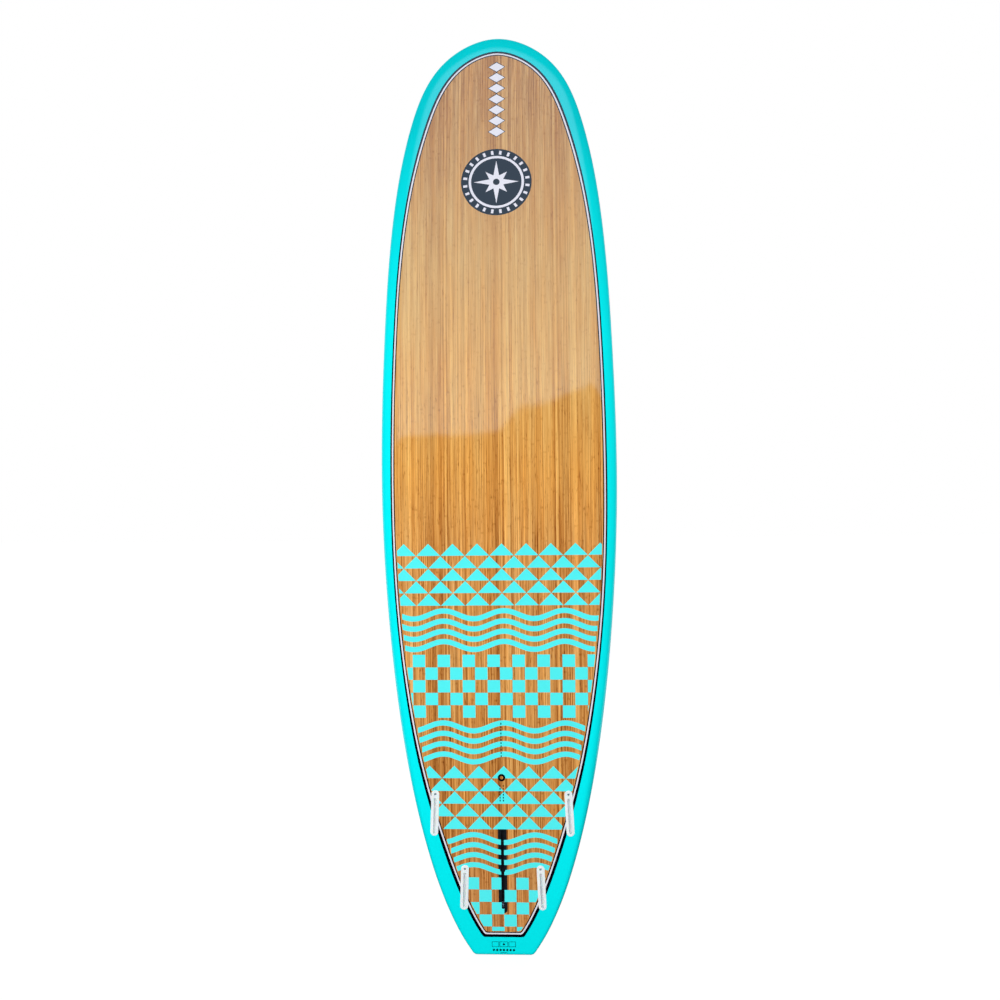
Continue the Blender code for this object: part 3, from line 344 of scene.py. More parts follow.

# Colours by height from the tail, lightest near the middle; the darker colours towards the nose are
# painted shade.
BAMBOO_TONES_AND_SHADE = (
    (0.20, (0.545, 0.248, 0.080)), (0.45, (0.560, 0.256, 0.067)), (0.87, (0.622, 0.308, 0.091)),
    (1.15, (0.618, 0.299, 0.090)), (1.50, (0.708, 0.362, 0.094)), (1.92, (0.662, 0.388, 0.124)),
    (2.15, (0.622, 0.380, 0.134)), (2.40, (0.572, 0.331, 0.117)), (2.70, (0.517, 0.282, 0.099)),
)
DECK_TONES = ((0.0, (0.600, 0.350, 0.140)), (LENGTH, (0.640, 0.390, 0.165)))


# ---------------------------------------------------------------- smooth curves of the hull
def cubic_spline(knots, values):
    """Natural cubic spline through the values at the knots, as a function."""
    knots = np.asarray(knots, float)
    values = np.asarray(values, float)
    steps = np.diff(knots)
    count = len(knots)
    system = np.eye(count)
    right = np.zeros(count)
    for i in range(1, count - 1):
        system[i, i - 1] = steps[i - 1]
        system[i, i] = 2 * (steps[i - 1] + steps[i])
        system[i, i + 1] = steps[i]
        slopes = np.diff(values[i - 1:i + 2]) / steps[i - 1:i + 1]
        right[i] = 6 * (slopes[1] - slopes[0])
    bends = np.linalg.solve(system, right)

    def evaluate(t):
        t = np.asarray(t, float)
        i = np.clip(np.searchsorted(knots, t) - 1, 0, count - 2)
        step = steps[i]
        before = t - knots[i]
        after = knots[i + 1] - t
        cubic = (bends[i] * after ** 3 + bends[i + 1] * before ** 3) / (6 * step)
        low = (values[i] / step - bends[i] * step / 6) * after
        high = (values[i + 1] / step - bends[i + 1] * step / 6) * before
        return cubic + low + high

    return evaluate


def rocker(z):
    """Height of the bottom above its flat spot, towards the deck."""
    nose = np.clip((z - FLAT_SPOT_AT) / (LENGTH - FLAT_SPOT_AT), 0, None)
    tail = np.clip((FLAT_SPOT_AT - z) / FLAT_SPOT_AT, 0, None)
    return NOSE_ROCKER * nose ** NOSE_ROCKER_POWER + TAIL_ROCKER * tail ** TAIL_ROCKER_POWER


def thickness(z):
    """Thickness on the centre line."""
    nose = np.clip((z - THICKEST_AT) / (LENGTH - THICKEST_AT), 0, 1) ** THICKNESS_POWER
    tail = np.clip((THICKEST_AT - z) / THICKEST_AT, 0, 1) ** THICKNESS_POWER
    return (MID_THICKNESS - (MID_THICKNESS - NOSE_THICKNESS) * nose
            - (MID_THICKNESS - TAIL_THICKNESS) * tail)


def crown(x):
    """How far the deck falls from its centre line at x."""
    return DECK_CROWN * (np.asarray(x, float) / HALF_WIDTH) ** 2


def bottom_line(z):
    return rocker(z) - TAIL_ROCKER - TAIL_THICKNESS / 2


def side_curve():
    """Dense points (x, z) of the right side from tail corner to nose tip."""
    stations = [(w, z) for z, w in OUTLINE]
    mirrored = [(-w, z) for z, w in reversed(OUTLINE[-1 - MIRRORED_STATIONS:-1])]
    points = np.array(stations + mirrored)
    chords = np.hypot(*np.diff(points, axis=0).T)
    knots = np.concatenate([[0], np.cumsum(chords)])
    t = np.linspace(0, knots[len(stations) - 1], OUTLINE_SAMPLES)
    return np.column_stack([cubic_spline(knots, points[:, 0])(t),
                            cubic_spline(knots, points[:, 1])(t)])


def inward_normals(points):
    tangents = np.gradient(points, axis=0)
    tangents[-1] = (-1, 0)
    tangents /= np.hypot(*tangents.T)[:, None]
    return np.column_stack([-tangents[:, 1], tangents[:, 0]])


def inset_half(offsets, end_offset, corner_radius):
    """Right half of the outline moved inwards: end line, corner arc and side, as three pieces."""
    side = SIDE + inward_normals(SIDE) * np.asarray(offsets)[..., None]
    first = int(np.argmax(side[:, 1] > end_offset))
    share = (end_offset - side[first - 1, 1]) / (side[first, 1] - side[first - 1, 1]) if first else 0
    corner = side[first - 1] + share * (side[first] - side[first - 1]) if first else side[0]
    ahead = side[first + 1] - corner
    ahead /= np.hypot(*ahead)
    turn = math.atan2(ahead[1], ahead[0])
    reach = corner_radius * math.tan(turn / 2)
    arc_start = np.array([corner[0] - reach, end_offset])
    centre = arc_start + (0, corner_radius)
    angles = np.linspace(0, turn, CORNER_SAMPLES)
    arc = centre + corner_radius * np.column_stack([np.sin(angles), -np.cos(angles)])
    along = (side - corner) @ ahead
    rest = side[(np.arange(len(side)) > first) & (along > reach)]
    end = np.array([(0, end_offset), arc_start])
    return end, arc, np.vstack([arc[-1:], rest])


def resample(points, count, turn_weight=0.0):
    """Points spread evenly by length plus weighted turning."""
    moves = np.diff(points, axis=0)
    lengths = np.hypot(*moves.T)
    headings = np.unwrap(np.arctan2(moves[:, 1], moves[:, 0]))
    turning = np.concatenate([[0], np.abs(np.diff(headings))])
    weights = np.concatenate([[0], np.cumsum(lengths + turn_weight * turning)])
    wanted = np.linspace(0, weights[-1], count + 1)
    return np.column_stack([np.interp(wanted, weights, points[:, k]) for k in (0, 1)])


def loop_at(offsets, end_offset, corner_radius):
    """Closed loop of the outline moved inwards: up the right side, then down the left."""
    end, arc, side = inset_half(offsets, end_offset, corner_radius)
    half = np.vstack([resample(end, END_STEPS)[:-1], resample(arc, CORNER_STEPS)[:-1],
                      resample(side, SIDE_STEPS, TURN_WEIGHT)])
    return np.vstack([half, half[-2:0:-1] * (-1, 1)])


def outline_edge():
    """Dense points (x, z) of the whole right half of the outline."""
    end, arc, side = inset_half(np.zeros(len(SIDE)), 0.0, TAIL_CORNER_RADIUS)
    return np.vstack([resample(end, EDGE_SAMPLES)[:-1], arc[:-1], side])


def edge_tree():
    tree = KDTree(len(EDGE))
    for index, (x, z) in enumerate(EDGE):
        tree.insert((x, z, 0), index)
    tree.balance()
    return tree


def nearest_edge(x, z):
    """Distance in plan to the outline, and the outline's half width and height there."""
    points = np.column_stack([np.abs(x), z])
    near = np.array([EDGE_TREE.find((px, pz, 0))[1] for px, pz in points])
    distance = np.full(len(points), np.inf)
    feet = np.zeros_like(points)
    for segment in (near - 1, near):
        segment = np.clip(segment, 0, len(EDGE) - 2)
        start = EDGE[segment]
        move = EDGE[segment + 1] - start
        share = np.clip(((points - start) * move).sum(1) / (move ** 2).sum(1), 0, 1)
        foot = start + share[:, None] * move
        gap = np.hypot(*(points - foot).T)
        closer = gap < distance
        distance[closer] = gap[closer]
        feet[closer] = foot[closer]
    return distance, feet[:, 0], feet[:, 1]


def rail_heights(edge_x, edge_z):
    """Heights of the round under the rail and of the round over it at a place on the outline."""
    full = thickness(edge_z) - crown(edge_x)
    fade = np.clip(1 - edge_z / WALL_FADE_HEIGHT, 0, 1) ** 2
    wall = full * (WALL_SHARE_MID + (WALL_SHARE_TAIL - WALL_SHARE_MID) * fade)
    return RAIL_UNDER_SHARE * (full - wall), (1 - RAIL_UNDER_SHARE) * (full - wall)


def quarter_round(share):
    """Quarter ellipse: 1 at the edge, 0 one full depth inside it."""
    inside = np.clip(1 - share, 0, 1)
    return 1 - np.sqrt(1 - inside ** 2)


def surface_y(x, z, on_deck):
    """Height of the hull's skin over the board's plan, on the bottom or on the deck."""
    x = np.atleast_1d(np.asarray(x, float))
    z = np.atleast_1d(np.asarray(z, float))
    distance, edge_x, edge_z = nearest_edge(x, z)
    distance = np.where(distance < MERGE, 0, distance)
    under, over = rail_heights(edge_x, edge_z)
    if on_deck:
        fall = over * quarter_round(distance / RAIL_OVER_AT(edge_z))
        return bottom_line(z) + thickness(z) - crown(x) - fall
    return bottom_line(z) + under * quarter_round(distance / RAIL_UNDER_AT(edge_z))


def skin_points(plan, on_deck):
    """Points on the skin over the plan points (x, z)."""
    return np.column_stack([plan[:, 0], surface_y(*plan.T, on_deck), plan[:, 1]])


def skin_normals(plan, on_deck):
    """Outward unit normals of the skin over the plan points (x, z)."""
    x, z = plan.T
    step = SLOPE_STEP
    slope_x = (surface_y(x + step, z, on_deck) - surface_y(x - step, z, on_deck)) / (2 * step)
    slope_z = (surface_y(x, z + step, on_deck) - surface_y(x, z - step, on_deck)) / (2 * step)
    sign = -1 if on_deck else 1
    normals = np.column_stack([sign * slope_x, np.full(len(x), -sign), sign * slope_z])
    return normals / np.linalg.norm(normals, axis=1)[:, None]


# ---------------------------------------------------------------- plane outlines
def stadium(width, length):
    """Points of a strip with round ends, across and along."""
    radius = width / 2
    straight = length / 2 - radius
    angles = [math.pi * k / ROUND_STEPS for k in range(ROUND_STEPS + 1)]
    return np.array([(sign * radius * math.cos(angle),
                      sign * (straight + radius * math.sin(angle)))
                     for sign in (1, -1) for angle in angles])


def rounded_rectangle(width, length, radius):
    points = []
    for side_x, side_z, start in ((1, 1, 0), (-1, 1, 90), (-1, -1, 180), (1, -1, 270)):
        for k in range(RECTANGLE_STEPS + 1):
            angle = math.radians(start + 90 * k / RECTANGLE_STEPS)
            points.append((side_x * (width / 2 - radius) + radius * math.cos(angle),
                           side_z * (length / 2 - radius) + radius * math.sin(angle)))
    return np.array(points)


def ellipse(centre, radii, steps=EMBLEM_STEPS):
    angles = np.arange(steps) * math.tau / steps
    return np.column_stack([centre[0] + radii[0] * np.cos(angles),
                            centre[1] + radii[1] * np.sin(angles)])


def circle(radius, steps=CIRCLE_STEPS):
    return ellipse((0, 0), (radius, radius), steps)


def strip(low, high, half_width, centre=0.0):
    """Upright rectangle in plan."""
    left, right = centre - half_width, centre + half_width
    return np.array([(left, low), (right, low), (right, high), (left, high)])


def diamond(centre, half_width, half_height):
    x, z = centre
    return np.array([(x + half_width, z), (x, z + half_height), (x - half_width, z),
                     (x, z - half_height)])


def placed(points, place):
    """Plan points (x, z) of a fitting's outline, given across and along in the fitting's frame."""
    return np.array([(place @ Vector((across, 0, along))).xz for across, along in points])


def inside(polygon, points):
    """Which points lie inside a closed polygon."""
    low, high = polygon.min(0), polygon.max(0)
    near = np.flatnonzero(((points >= low) & (points <= high)).all(1))
    x, z = points[near].T
    odd = np.zeros(len(near), bool)
    for (ax, az), (bx, bz) in zip(polygon, np.roll(polygon, -1, axis=0)):
        if az != bz:
            crosses = (az > z) != (bz > z)
            odd ^= crosses & (x < (bx - ax) * (z - az) / (bz - az) + ax)
    result = np.zeros(len(points), bool)
    result[near[odd]] = True
    return result


# ---------------------------------------------------------------- meshes and pieces
def add_piece(name, mesh, finish, slot=None, node=None):
    """Show a mesh in the row frame as a piece of the object, in place of a CAD node if named."""
    mesh.name = name
    mesh.materials.clear()
    mesh.materials.append(finish)
    obj = bpy.data.objects.new(name, mesh)
    bpy.context.scene.collection.objects.link(obj)
    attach(obj, node if node in BEHAVIOUR["bodies"] else "board")
    if node:
        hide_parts(node)


def walled(name, outside, inner_side, faces):
    """Closed mesh of a sheet, its inner copy and walls round its edges; also returns the edges."""
    count = len(outside)
    edges = np.vstack([faces[:, (0, 1)], faces[:, (1, 2)], faces[:, (2, 0)]])
    keys = edges[:, 0] * count + edges[:, 1]
    border = edges[~np.isin(keys, edges[:, 1] * count + edges[:, 0])]
    walls = np.column_stack([border[:, ::-1], border + count])
    mesh = bpy.data.meshes.new(name)
    mesh.from_pydata(np.vstack([outside, inner_side]).tolist(), [],
                     faces.tolist() + (faces[:, ::-1] + count).tolist() + walls.tolist())
    return mesh, border


def sheet_solid(name, points, faces, normals, depth, exact_normals=True):
    """Closed solid under a sheet that keeps the sheet's own normals, unless told otherwise."""
    used, faces = np.unique(np.asarray(faces), return_inverse=True)
    faces = faces.reshape(-1, 3)
    points, normals = points[used], normals[used]
    mesh, border = walled(name, points, points - normals * depth, faces)
    if not exact_normals:
        return mesh
    mesh.shade_smooth()
    across = points[border[:, 0]] - points[border[:, 1]]
    flat = np.cross(across, normals[border[:, 0]] + normals[border[:, 1]])
    flat /= np.linalg.norm(flat, axis=1)[:, None] + MERGE
    corners = np.vstack([normals[faces.ravel()], -normals[faces[:, ::-1].ravel()],
                         np.repeat(flat, 4, axis=0)])
    mesh.normals_split_custom_set(corners.tolist())
    return mesh


def smooth(mesh):
    mesh.shade_smooth()
    mesh.set_sharp_from_angle(angle=SMOOTH_ANGLE)
    return mesh


def loft(outline, profile, place, closed=False):
    """Solid through rings of an outline function at (inset, depth) pairs in a fitting's frame.

    A closed profile joins its last ring to its first, without caps.
    """
    rings = [outline(inset) for inset, _ in profile]
    count = len(rings[0])
    vertices = [(across, depth, along) for ring, (_, depth) in zip(rings, profile)
                for across, along in ring]
    caps = [] if closed else [tuple(range(count)),
                              tuple(range(len(vertices) - 1, len(vertices) - count - 1, -1))]
    faces = caps[:1]
    for level in range(len(rings) if closed else len(rings) - 1):
        a, b = level * count, (level + 1) % len(rings) * count
        faces += [(a + i, b + i, b + (i + 1) % count, a + (i + 1) % count) for i in range(count)]
    mesh = bpy.data.meshes.new("loft")
    mesh.from_pydata(vertices, [], faces + caps[1:])
    bm = bmesh.new()
    bm.from_mesh(mesh)
    bmesh.ops.recalc_face_normals(bm, faces=bm.faces)
    bm.to_mesh(mesh)
    bm.free()
    mesh.transform(place)
    return mesh


def carved(base, joined=(), cuts=()):
    """Mesh of a base with other meshes joined to it and cut from it."""
    scene = bpy.context.scene.collection.objects
    body = bpy.data.objects.new("carved", base)
    scene.link(body)
    tools = []
    for mesh, operation in [(m, "UNION") for m in joined] + [(m, "DIFFERENCE") for m in cuts]:
        tool = bpy.data.objects.new("tool", mesh)
        scene.link(tool)
        modifier = body.modifiers.new("carve", "BOOLEAN")
        modifier.operation = operation
        modifier.solver = "EXACT"
        modifier.object = tool
        tools.append(tool)
    bpy.context.view_layer.update()
    graph = bpy.context.evaluated_depsgraph_get()
    result = bpy.data.meshes.new_from_object(body.evaluated_get(graph))
    for obj in [body] + tools:
        bpy.data.objects.remove(obj, do_unlink=True)
    return smooth(result)


# ---------------------------------------------------------------- skins cut along their print
def triangulated(loops, segments=(), filling=()):
    """Plan points and triangles along closed loops and open segments, with points between."""
    points, edges = [], []
    for loop in loops:
        start, count = len(points), len(loop)
        points += [Vector(p) for p in loop]
        edges += [(start + i, start + (i + 1) % count) for i in range(count)]
    for segment in segments:
        edges.append((len(points), len(points) + 1))
        points += [Vector(p) for p in segment]
    points += [Vector(p) for p in filling]
    found, _, faces, _, _, _ = delaunay_2d_cdt(points, edges, [], 0, PLAN_MERGE)
    return np.array([tuple(v) for v in found]), np.array(faces)


def face_outwards(plan, faces, on_deck):
    """Turn the triangles to face out of the bottom or out of the deck."""
    a, b, c = (plan[faces[:, k]] for k in range(3))
    turn = (b[:, 0] - a[:, 0]) * (c[:, 1] - a[:, 1]) - (b[:, 1] - a[:, 1]) * (c[:, 0] - a[:, 0])
    backwards = (turn > 0) if on_deck else (turn < 0)
    faces[backwards] = faces[backwards][:, ::-1]


def partition(shapes, filling, on_deck):
    """Skin inside the first shape, cut along all the shapes.

    A shape is (label, polygon, labels it may cover). Returns the points and normals of the skin
    and the triangles of each label.
    """
    plan, faces = triangulated([polygon for _, polygon, _ in shapes], filling=filling)
    centres = plan[faces].mean(1)
    labels = np.full(len(faces), "", dtype="U40")
    for label, polygon, covers in shapes:
        hit = inside(polygon, centres)
        if covers is not None:
            hit &= np.isin(labels, covers)
        labels[hit] = label
    face_outwards(plan, faces, on_deck)
    groups = {str(label): faces[labels == label] for label in np.unique(labels) if label}
    return skin_points(plan, on_deck), skin_normals(plan, on_deck), groups


def grid_filling(loop, clear):
    """Even grid of plan points inside a loop, kept clear of it."""
    low, high = loop.min(0), loop.max(0)
    x = np.arange(low[0] - low[0] % GRID_X, high[0], GRID_X) + GRID_X / 2
    z = np.arange(low[1], high[1], GRID_Z)
    grid = np.array([(px, pz) for pz in z for px in x])
    grid = grid[inside(loop, grid)]
    return grid[nearest_edge(*grid.T)[0] > clear(grid[:, 1])]


def print_polygons():
    """Outlines of the printed pattern by band: rows of triangles, waves and checks."""
    reach = HALF_WIDTH
    shapes = []
    for name, band in PRINT_BANDS.items():
        if isinstance(band, Waves):
            x = np.arange(-reach, reach, WAVE_STEP)
            phase = (x - band.phase) * math.tau / band.period
            slope = -WAVE_HEIGHT * math.tau / band.period * np.sin(phase)
            half = WAVE_STROKE / 2 * np.hypot(1, slope)
            for k in range(band.count):
                line = band.first - k * band.step + WAVE_HEIGHT * np.cos(phase)
                shapes.append((name, np.vstack([np.column_stack([x, line - half]),
                                                np.column_stack([x, line + half])[::-1]])))
            continue
        for row in range(band.rows):
            high = band.top - row * band.row
            low = high - band.row + PRINT_GAP
            shift = band.phase + (band.period / 2 if row % 2 else 0)
            for k in range(-math.ceil(reach / band.period), math.ceil(reach / band.period) + 1):
                x = shift + k * band.period
                if isinstance(band, Checks):
                    shapes.append((name, strip(low, high, band.period * CHECK_SHARE / 2, x)))
                else:
                    half = band.period / 2 - PRINT_GAP / 2
                    shapes.append((name, np.array([(x - half, low), (x + half, low), (x, high)])))
    return shapes


def clipped_waves(polygon, loop):
    """Wave polygon shortened to just past the panel's edges."""
    kept = inside(loop, polygon)
    x = polygon[kept, 0]
    low, high = x.min() - PRINT_OVERHANG, x.max() + PRINT_OVERHANG
    return polygon[(polygon[:, 0] > low) & (polygon[:, 0] < high)]


def emblem_polygons():
    """Generic compass badge: a disc with a ring, ticks round it and a star inside."""
    centre, radii = np.array(EMBLEM_AT), np.array(EMBLEM_RADII)
    inner, outer = EMBLEM_RING
    marks = [ellipse(EMBLEM_AT, radii * outer)]
    near, far, half = EMBLEM_TICK
    for k in range(EMBLEM_TICKS):
        angle = math.tau * (k + 0.5) / EMBLEM_TICKS
        along = np.array([math.sin(angle), math.cos(angle)])
        across = np.array([along[1], -along[0]]) * half
        corners = [near * along - across, near * along + across, far * along + across,
                   far * along - across]
        marks.append(centre + np.array(corners) * radii)
    star = []
    for k in range(2 * EMBLEM_POINTS):
        reach = EMBLEM_STAR[(k // 2) % 2][k % 2]
        angle = math.tau * k / (2 * EMBLEM_POINTS)
        star.append((reach * math.sin(angle), reach * math.cos(angle)))
    disc, white = "emblem_disc", "emblem_marks"
    return ([(disc, ellipse(EMBLEM_AT, radii), ["ground"])]
            + [(white, polygon, [disc]) for polygon in marks]
            + [(disc, ellipse(EMBLEM_AT, radii * inner), [white]),
               (white, centre + np.array(star) * radii, [disc]),
               (disc, ellipse(EMBLEM_AT, radii * EMBLEM_HUB, EMBLEM_STEPS // 2), [white])])


def motif_polygons():
    """Plain column of lozenges near the nose, each with a dark edge."""
    x, z = MOTIF_AT
    pitch = MOTIF_LENGTH / MOTIF_COUNT
    shapes = []
    for k in range(MOTIF_COUNT):
        centre = (x, z + (k - (MOTIF_COUNT - 1) / 2) * pitch)
        half_width = MOTIF_WIDTH / 2
        half_height = pitch * MOTIF_SHARE / 2
        shapes.append(("motif_edge", diamond(centre, half_width + MOTIF_EDGE,
                                             half_height + MOTIF_EDGE), ["ground"]))
        shapes.append(("motif_face", diamond(centre, half_width, half_height), ["motif_edge"]))
    return shapes


def centre_mark_polygons():
    """Small plain marks on the centre line in front of the fin box."""
    printed = ["ground"] + list(PRINT_BANDS)
    shapes = []
    for low, high, count, half, x in CENTRE_DASHES:
        pitch = (high - low) / count
        shapes += [("centre_marks",
                    strip(low + k * pitch, low + (k + DASH_SHARE) * pitch, half, x), printed)
                   for k in range(count)]
    at, outer, inner = CENTRE_RING
    ring = ellipse((0, at), (outer, outer), EMBLEM_STEPS // 2)
    hole = ellipse((0, at), (inner, inner), EMBLEM_STEPS // 2)
    return shapes + [("centre_marks", ring, printed), ("ground", hole, ["centre_marks"])]


def tail_mark_polygons():
    low, high = TAIL_FRAME_AT
    shapes = []
    for x, half in TAIL_FRAMES:
        shapes.append(("tail_marks", strip(low, high, half, x), None))
        shapes.append(("", strip(low + TAIL_LINE, high - TAIL_LINE, half - TAIL_LINE, x), None))
    at, count, pitch, half_width, half_height = TAIL_DIAMONDS
    diamonds = [diamond((0, (low + high) / 2), half_width, half_width)]
    diamonds += [diamond(((k - (count - 1) / 2) * pitch, at), half_width, half_height)
                 for k in range(count)]
    shapes += [("tail_marks", polygon, None) for polygon in diamonds]
    low, high, half = TAIL_DASH
    return shapes + [("tail_marks", strip(low, high, half), None)]


# ---------------------------------------------------------------- frames of the fittings
def fitting_frame(origin, outward, turn=0.0):
    """Frame on the skin: local +Y points into the board and local +Z towards the nose."""
    outward = Vector(outward)
    up = Vector((0, -outward.z, outward.y)).normalized()
    if up.z < 0:
        up = -up
    side = up.cross(outward)
    place = Matrix((side, -outward, up)).transposed().to_4x4()
    place.translation = origin
    return place @ Matrix.Rotation(turn, 4, "Y")


def side_box_frame(tag):
    """Frames of a side box and of its set screw."""
    joint = JOINTS[f"set_screw_{tag}_turn"]
    bore = Vector(joint["pos_m"])
    low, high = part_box(f"fin_box_{tag}")
    turn = math.asin((bore.x - (low.x + high.x) / 2) / SIDE_BORE_RISE)
    at_bore = fitting_frame(bore, joint["axis"], turn)
    return at_bore @ Matrix.Translation((0, 0, -SIDE_BORE_RISE)), at_bore


def skin_frame(x, z):
    """Frame on the deck's skin at a place in plan."""
    plan = np.array([(x, z)])
    return fitting_frame(skin_points(plan, True)[0], skin_normals(plan, True)[0])


def shifted(place, depth=0.0, along=0.0):
    return place @ Matrix.Translation((0, depth, along))


# ---------------------------------------------------------------- rail
def band_loops(band, band_end):
    """Loops from the widest outline in to the band's inner edge, finer towards the outline."""
    loops = []
    for k in range(RAIL_RINGS + 1):
        share = (k / RAIL_RINGS) ** 2
        radius = max(TAIL_CORNER_RADIUS - share * band_end, BAND_CORNER_RADIUS)
        loops.append(loop_at(np.zeros(len(SIDE)) + band * share, band_end * share, radius))
    return loops


def rail_mesh():
    """Painted rail: a thin shell from the bottom's border round the edge to the deck's."""
    under = band_loops(BAND_UNDER_AT(SIDE[:, 1]), BAND_UNDER_END)
    over = band_loops(BAND_OVER, BAND_OVER_END)
    rings = [skin_points(loop, False) for loop in reversed(under)]
    rings += [skin_points(loop, True) for loop in over]
    count = len(rings[0])
    faces = []
    for level in range(len(rings) - 1):
        a = level * count + np.arange(count)
        b = level * count + (np.arange(count) + 1) % count
        faces += [np.column_stack([a, a + count, b + count]), np.column_stack([a, b + count, b])]
    points, faces = np.vstack(rings), np.vstack(faces)
    mesh = bpy.data.meshes.new("rail")
    mesh.from_pydata(points.tolist(), [], faces.tolist())
    normals = np.array([vertex.normal[:] for vertex in mesh.vertices])
    if (normals[:, 0] * points[:, 0]).sum() < 0:
        faces, normals = faces[:, ::-1], -normals
    return sheet_solid("rail", points, faces, normals, RAIL_SHELL, exact_normals=False)


# ---------------------------------------------------------------- fittings
# Profiles are (inset from the outline, depth below the face) pairs in a fitting's own frame.
def rectangle_outline(size, corner):
    """Outline function of a rounded rectangle for loft."""
    width, length = size
    return lambda inset: rounded_rectangle(width - 2 * inset, length - 2 * inset,
                                           max(corner - inset, corner / 4))


def stadium_outline(size):
    """Outline function of a strip with round ends for loft, with points along its straights."""
    width, length = size
    base = stadium(width, length)
    outward = stadium(2, 2)
    count = max(1, round((length - width) / STRAIGHT_STEP))
    shares = np.arange(1, count)[:, None] / count

    def outline(inset):
        ring = base - outward * inset
        half = len(ring) // 2
        rows = []
        for part, ahead in ((ring[:half], ring[half]), (ring[half:], ring[0])):
            rows += [part, part[-1] + (ahead - part[-1]) * shares]
        return np.vstack(rows)

    return outline


def turned(profile, place, closed=False, steps=CIRCLE_STEPS):
    """Solid turned about the depth axis from (radius, depth) pairs, or a ring if closed."""
    return smooth(loft(lambda radius: circle(radius, steps), profile, place, closed))


def thread(start, end, pitch, root, depth):
    """Profile of a screw's ridges between two depths."""
    turns = round((end - start) / pitch)
    tops = [start + k * (end - start) / turns for k in range(turns)]
    return [row for top in tops
            for row in ((root + depth, top + 0.15 * pitch), (root, top + 0.65 * pitch))]


def side_box_mesh(place):
    flange = loft(stadium_outline(SIDE_BOX), [(0.0012, -FLANGE_PROUD), (0.0005, -0.00050),
                                              (0.0, -0.00015), (0.0, SIDE_FLANGE)], place)
    body = loft(stadium_outline(SIDE_BODY), [(0.0, SIDE_FLANGE / 2), (0.0, SIDE_BODY_DEPTH - 0.002),
                                             (0.0015, SIDE_BODY_DEPTH)], place)
    slot = loft(stadium_outline(SIDE_SLOT), [(-0.0008, -0.0020), (-0.0004, -0.0004), (0.0, 0.0004),
                                             (0.0, SIDE_SLOT_DEPTH)],
                shifted(place, along=-SIDE_SLOT_DROP))
    bore = turned([(SIDE_BORE_RADIUS + 0.0006, -0.0020), (SIDE_BORE_RADIUS + 0.0003, -0.0004),
                   (SIDE_BORE_RADIUS, 0.0003), (SIDE_BORE_RADIUS, SIDE_BORE_DEPTH)],
                  shifted(place, along=SIDE_BORE_RISE))
    return carved(flange, [body], [slot, bore])


def socket_screw_mesh(profile, socket, floor, place):
    """Screw turned to a profile, with a hexagon socket of some radius down to its floor."""
    top = profile[0][1]
    hexagon = [(socket + 0.0004, top - 0.0010), (socket + 0.0002, top + 0.0001),
               (socket, top + 0.0003), (socket, floor)]
    return carved(turned(profile, place), cuts=[turned(hexagon, place, steps=6)])


def set_screw_mesh(place):
    root, ridge = 0.00278, 0.00022
    profile = [(0.0021, 0.0012), (0.0025, 0.0013), (root, 0.0017)]
    profile += thread(0.0018, 0.0106, 0.0008, root, ridge)
    profile += [(root, 0.0108), (0.0020, 0.0112)]
    return socket_screw_mesh(profile, 0.0018, 0.0047, place)


def centre_box_mesh(place):
    """Box with its slot, T-channel and entry, its top bent to lie under the skin."""
    top = 0.001
    body = loft(stadium_outline(CENTRE_BOX), [(0.0, top), (0.0, CENTRE_FLANGE)], place)
    cup = loft(stadium_outline(CENTRE_BODY), [(0.0, CENTRE_FLANGE / 2),
                                              (0.0, CENTRE_BODY_DEPTH - 0.002),
                                              (0.0020, CENTRE_BODY_DEPTH)], place)
    slot = loft(stadium_outline(CENTRE_SLOT), [(0.0, -0.0120), (0.0, 0.0135)], place)
    channel = loft(rectangle_outline((CENTRE_CHANNEL_WIDTH, CENTRE_SLOT[1]), 0.002),
                   [(0.0, CENTRE_CHANNEL_TOP), (0.0, CENTRE_CHANNEL_DEPTH)], place)
    entry = turned([(CENTRE_ENTRY_RADIUS, -0.0120),
                    (CENTRE_ENTRY_RADIUS, CENTRE_CHANNEL_TOP + GAP)], place)
    mesh = carved(body, [cup], [slot, channel, entry])
    points = np.array([vertex.co[:] for vertex in mesh.vertices])
    depth = np.array([(place.inverted() @ vertex.co).y for vertex in mesh.vertices])
    upper = depth < top + GAP
    points[upper, 1] = surface_y(points[upper, 0], points[upper, 2], False) + SKIN_SHEET
    mesh.vertices.foreach_set("co", points.ravel())
    mesh.update()
    return smooth(mesh)


def fin_plate_mesh(place):
    profile = [(0.0004, 0.0095), (0.0, 0.0099), (0.0, 0.0121), (0.0004, 0.0125)]
    plate = loft(rectangle_outline((0.0145, 0.0180), 0.002), profile, place)
    bore = turned([(0.0029, 0.0085), (0.0027, 0.0095), (0.0023, 0.0100), (0.0023, 0.0135)], place)
    return carved(plate, cuts=[bore])


def fin_screw_mesh(place):
    head, root, ridge = 0.0040, 0.0018, 0.0002
    profile = [(0.0022, 0.0020), (0.0032, 0.0021), (0.0038, 0.0025), (head, 0.0031),
               (head, 0.0046), (root + ridge, 0.0047)]
    profile += thread(0.0050, 0.0158, 0.0007, root, ridge)
    profile += [(0.0012, 0.0165)]
    return socket_screw_mesh(profile, 0.0016, 0.0036, place)


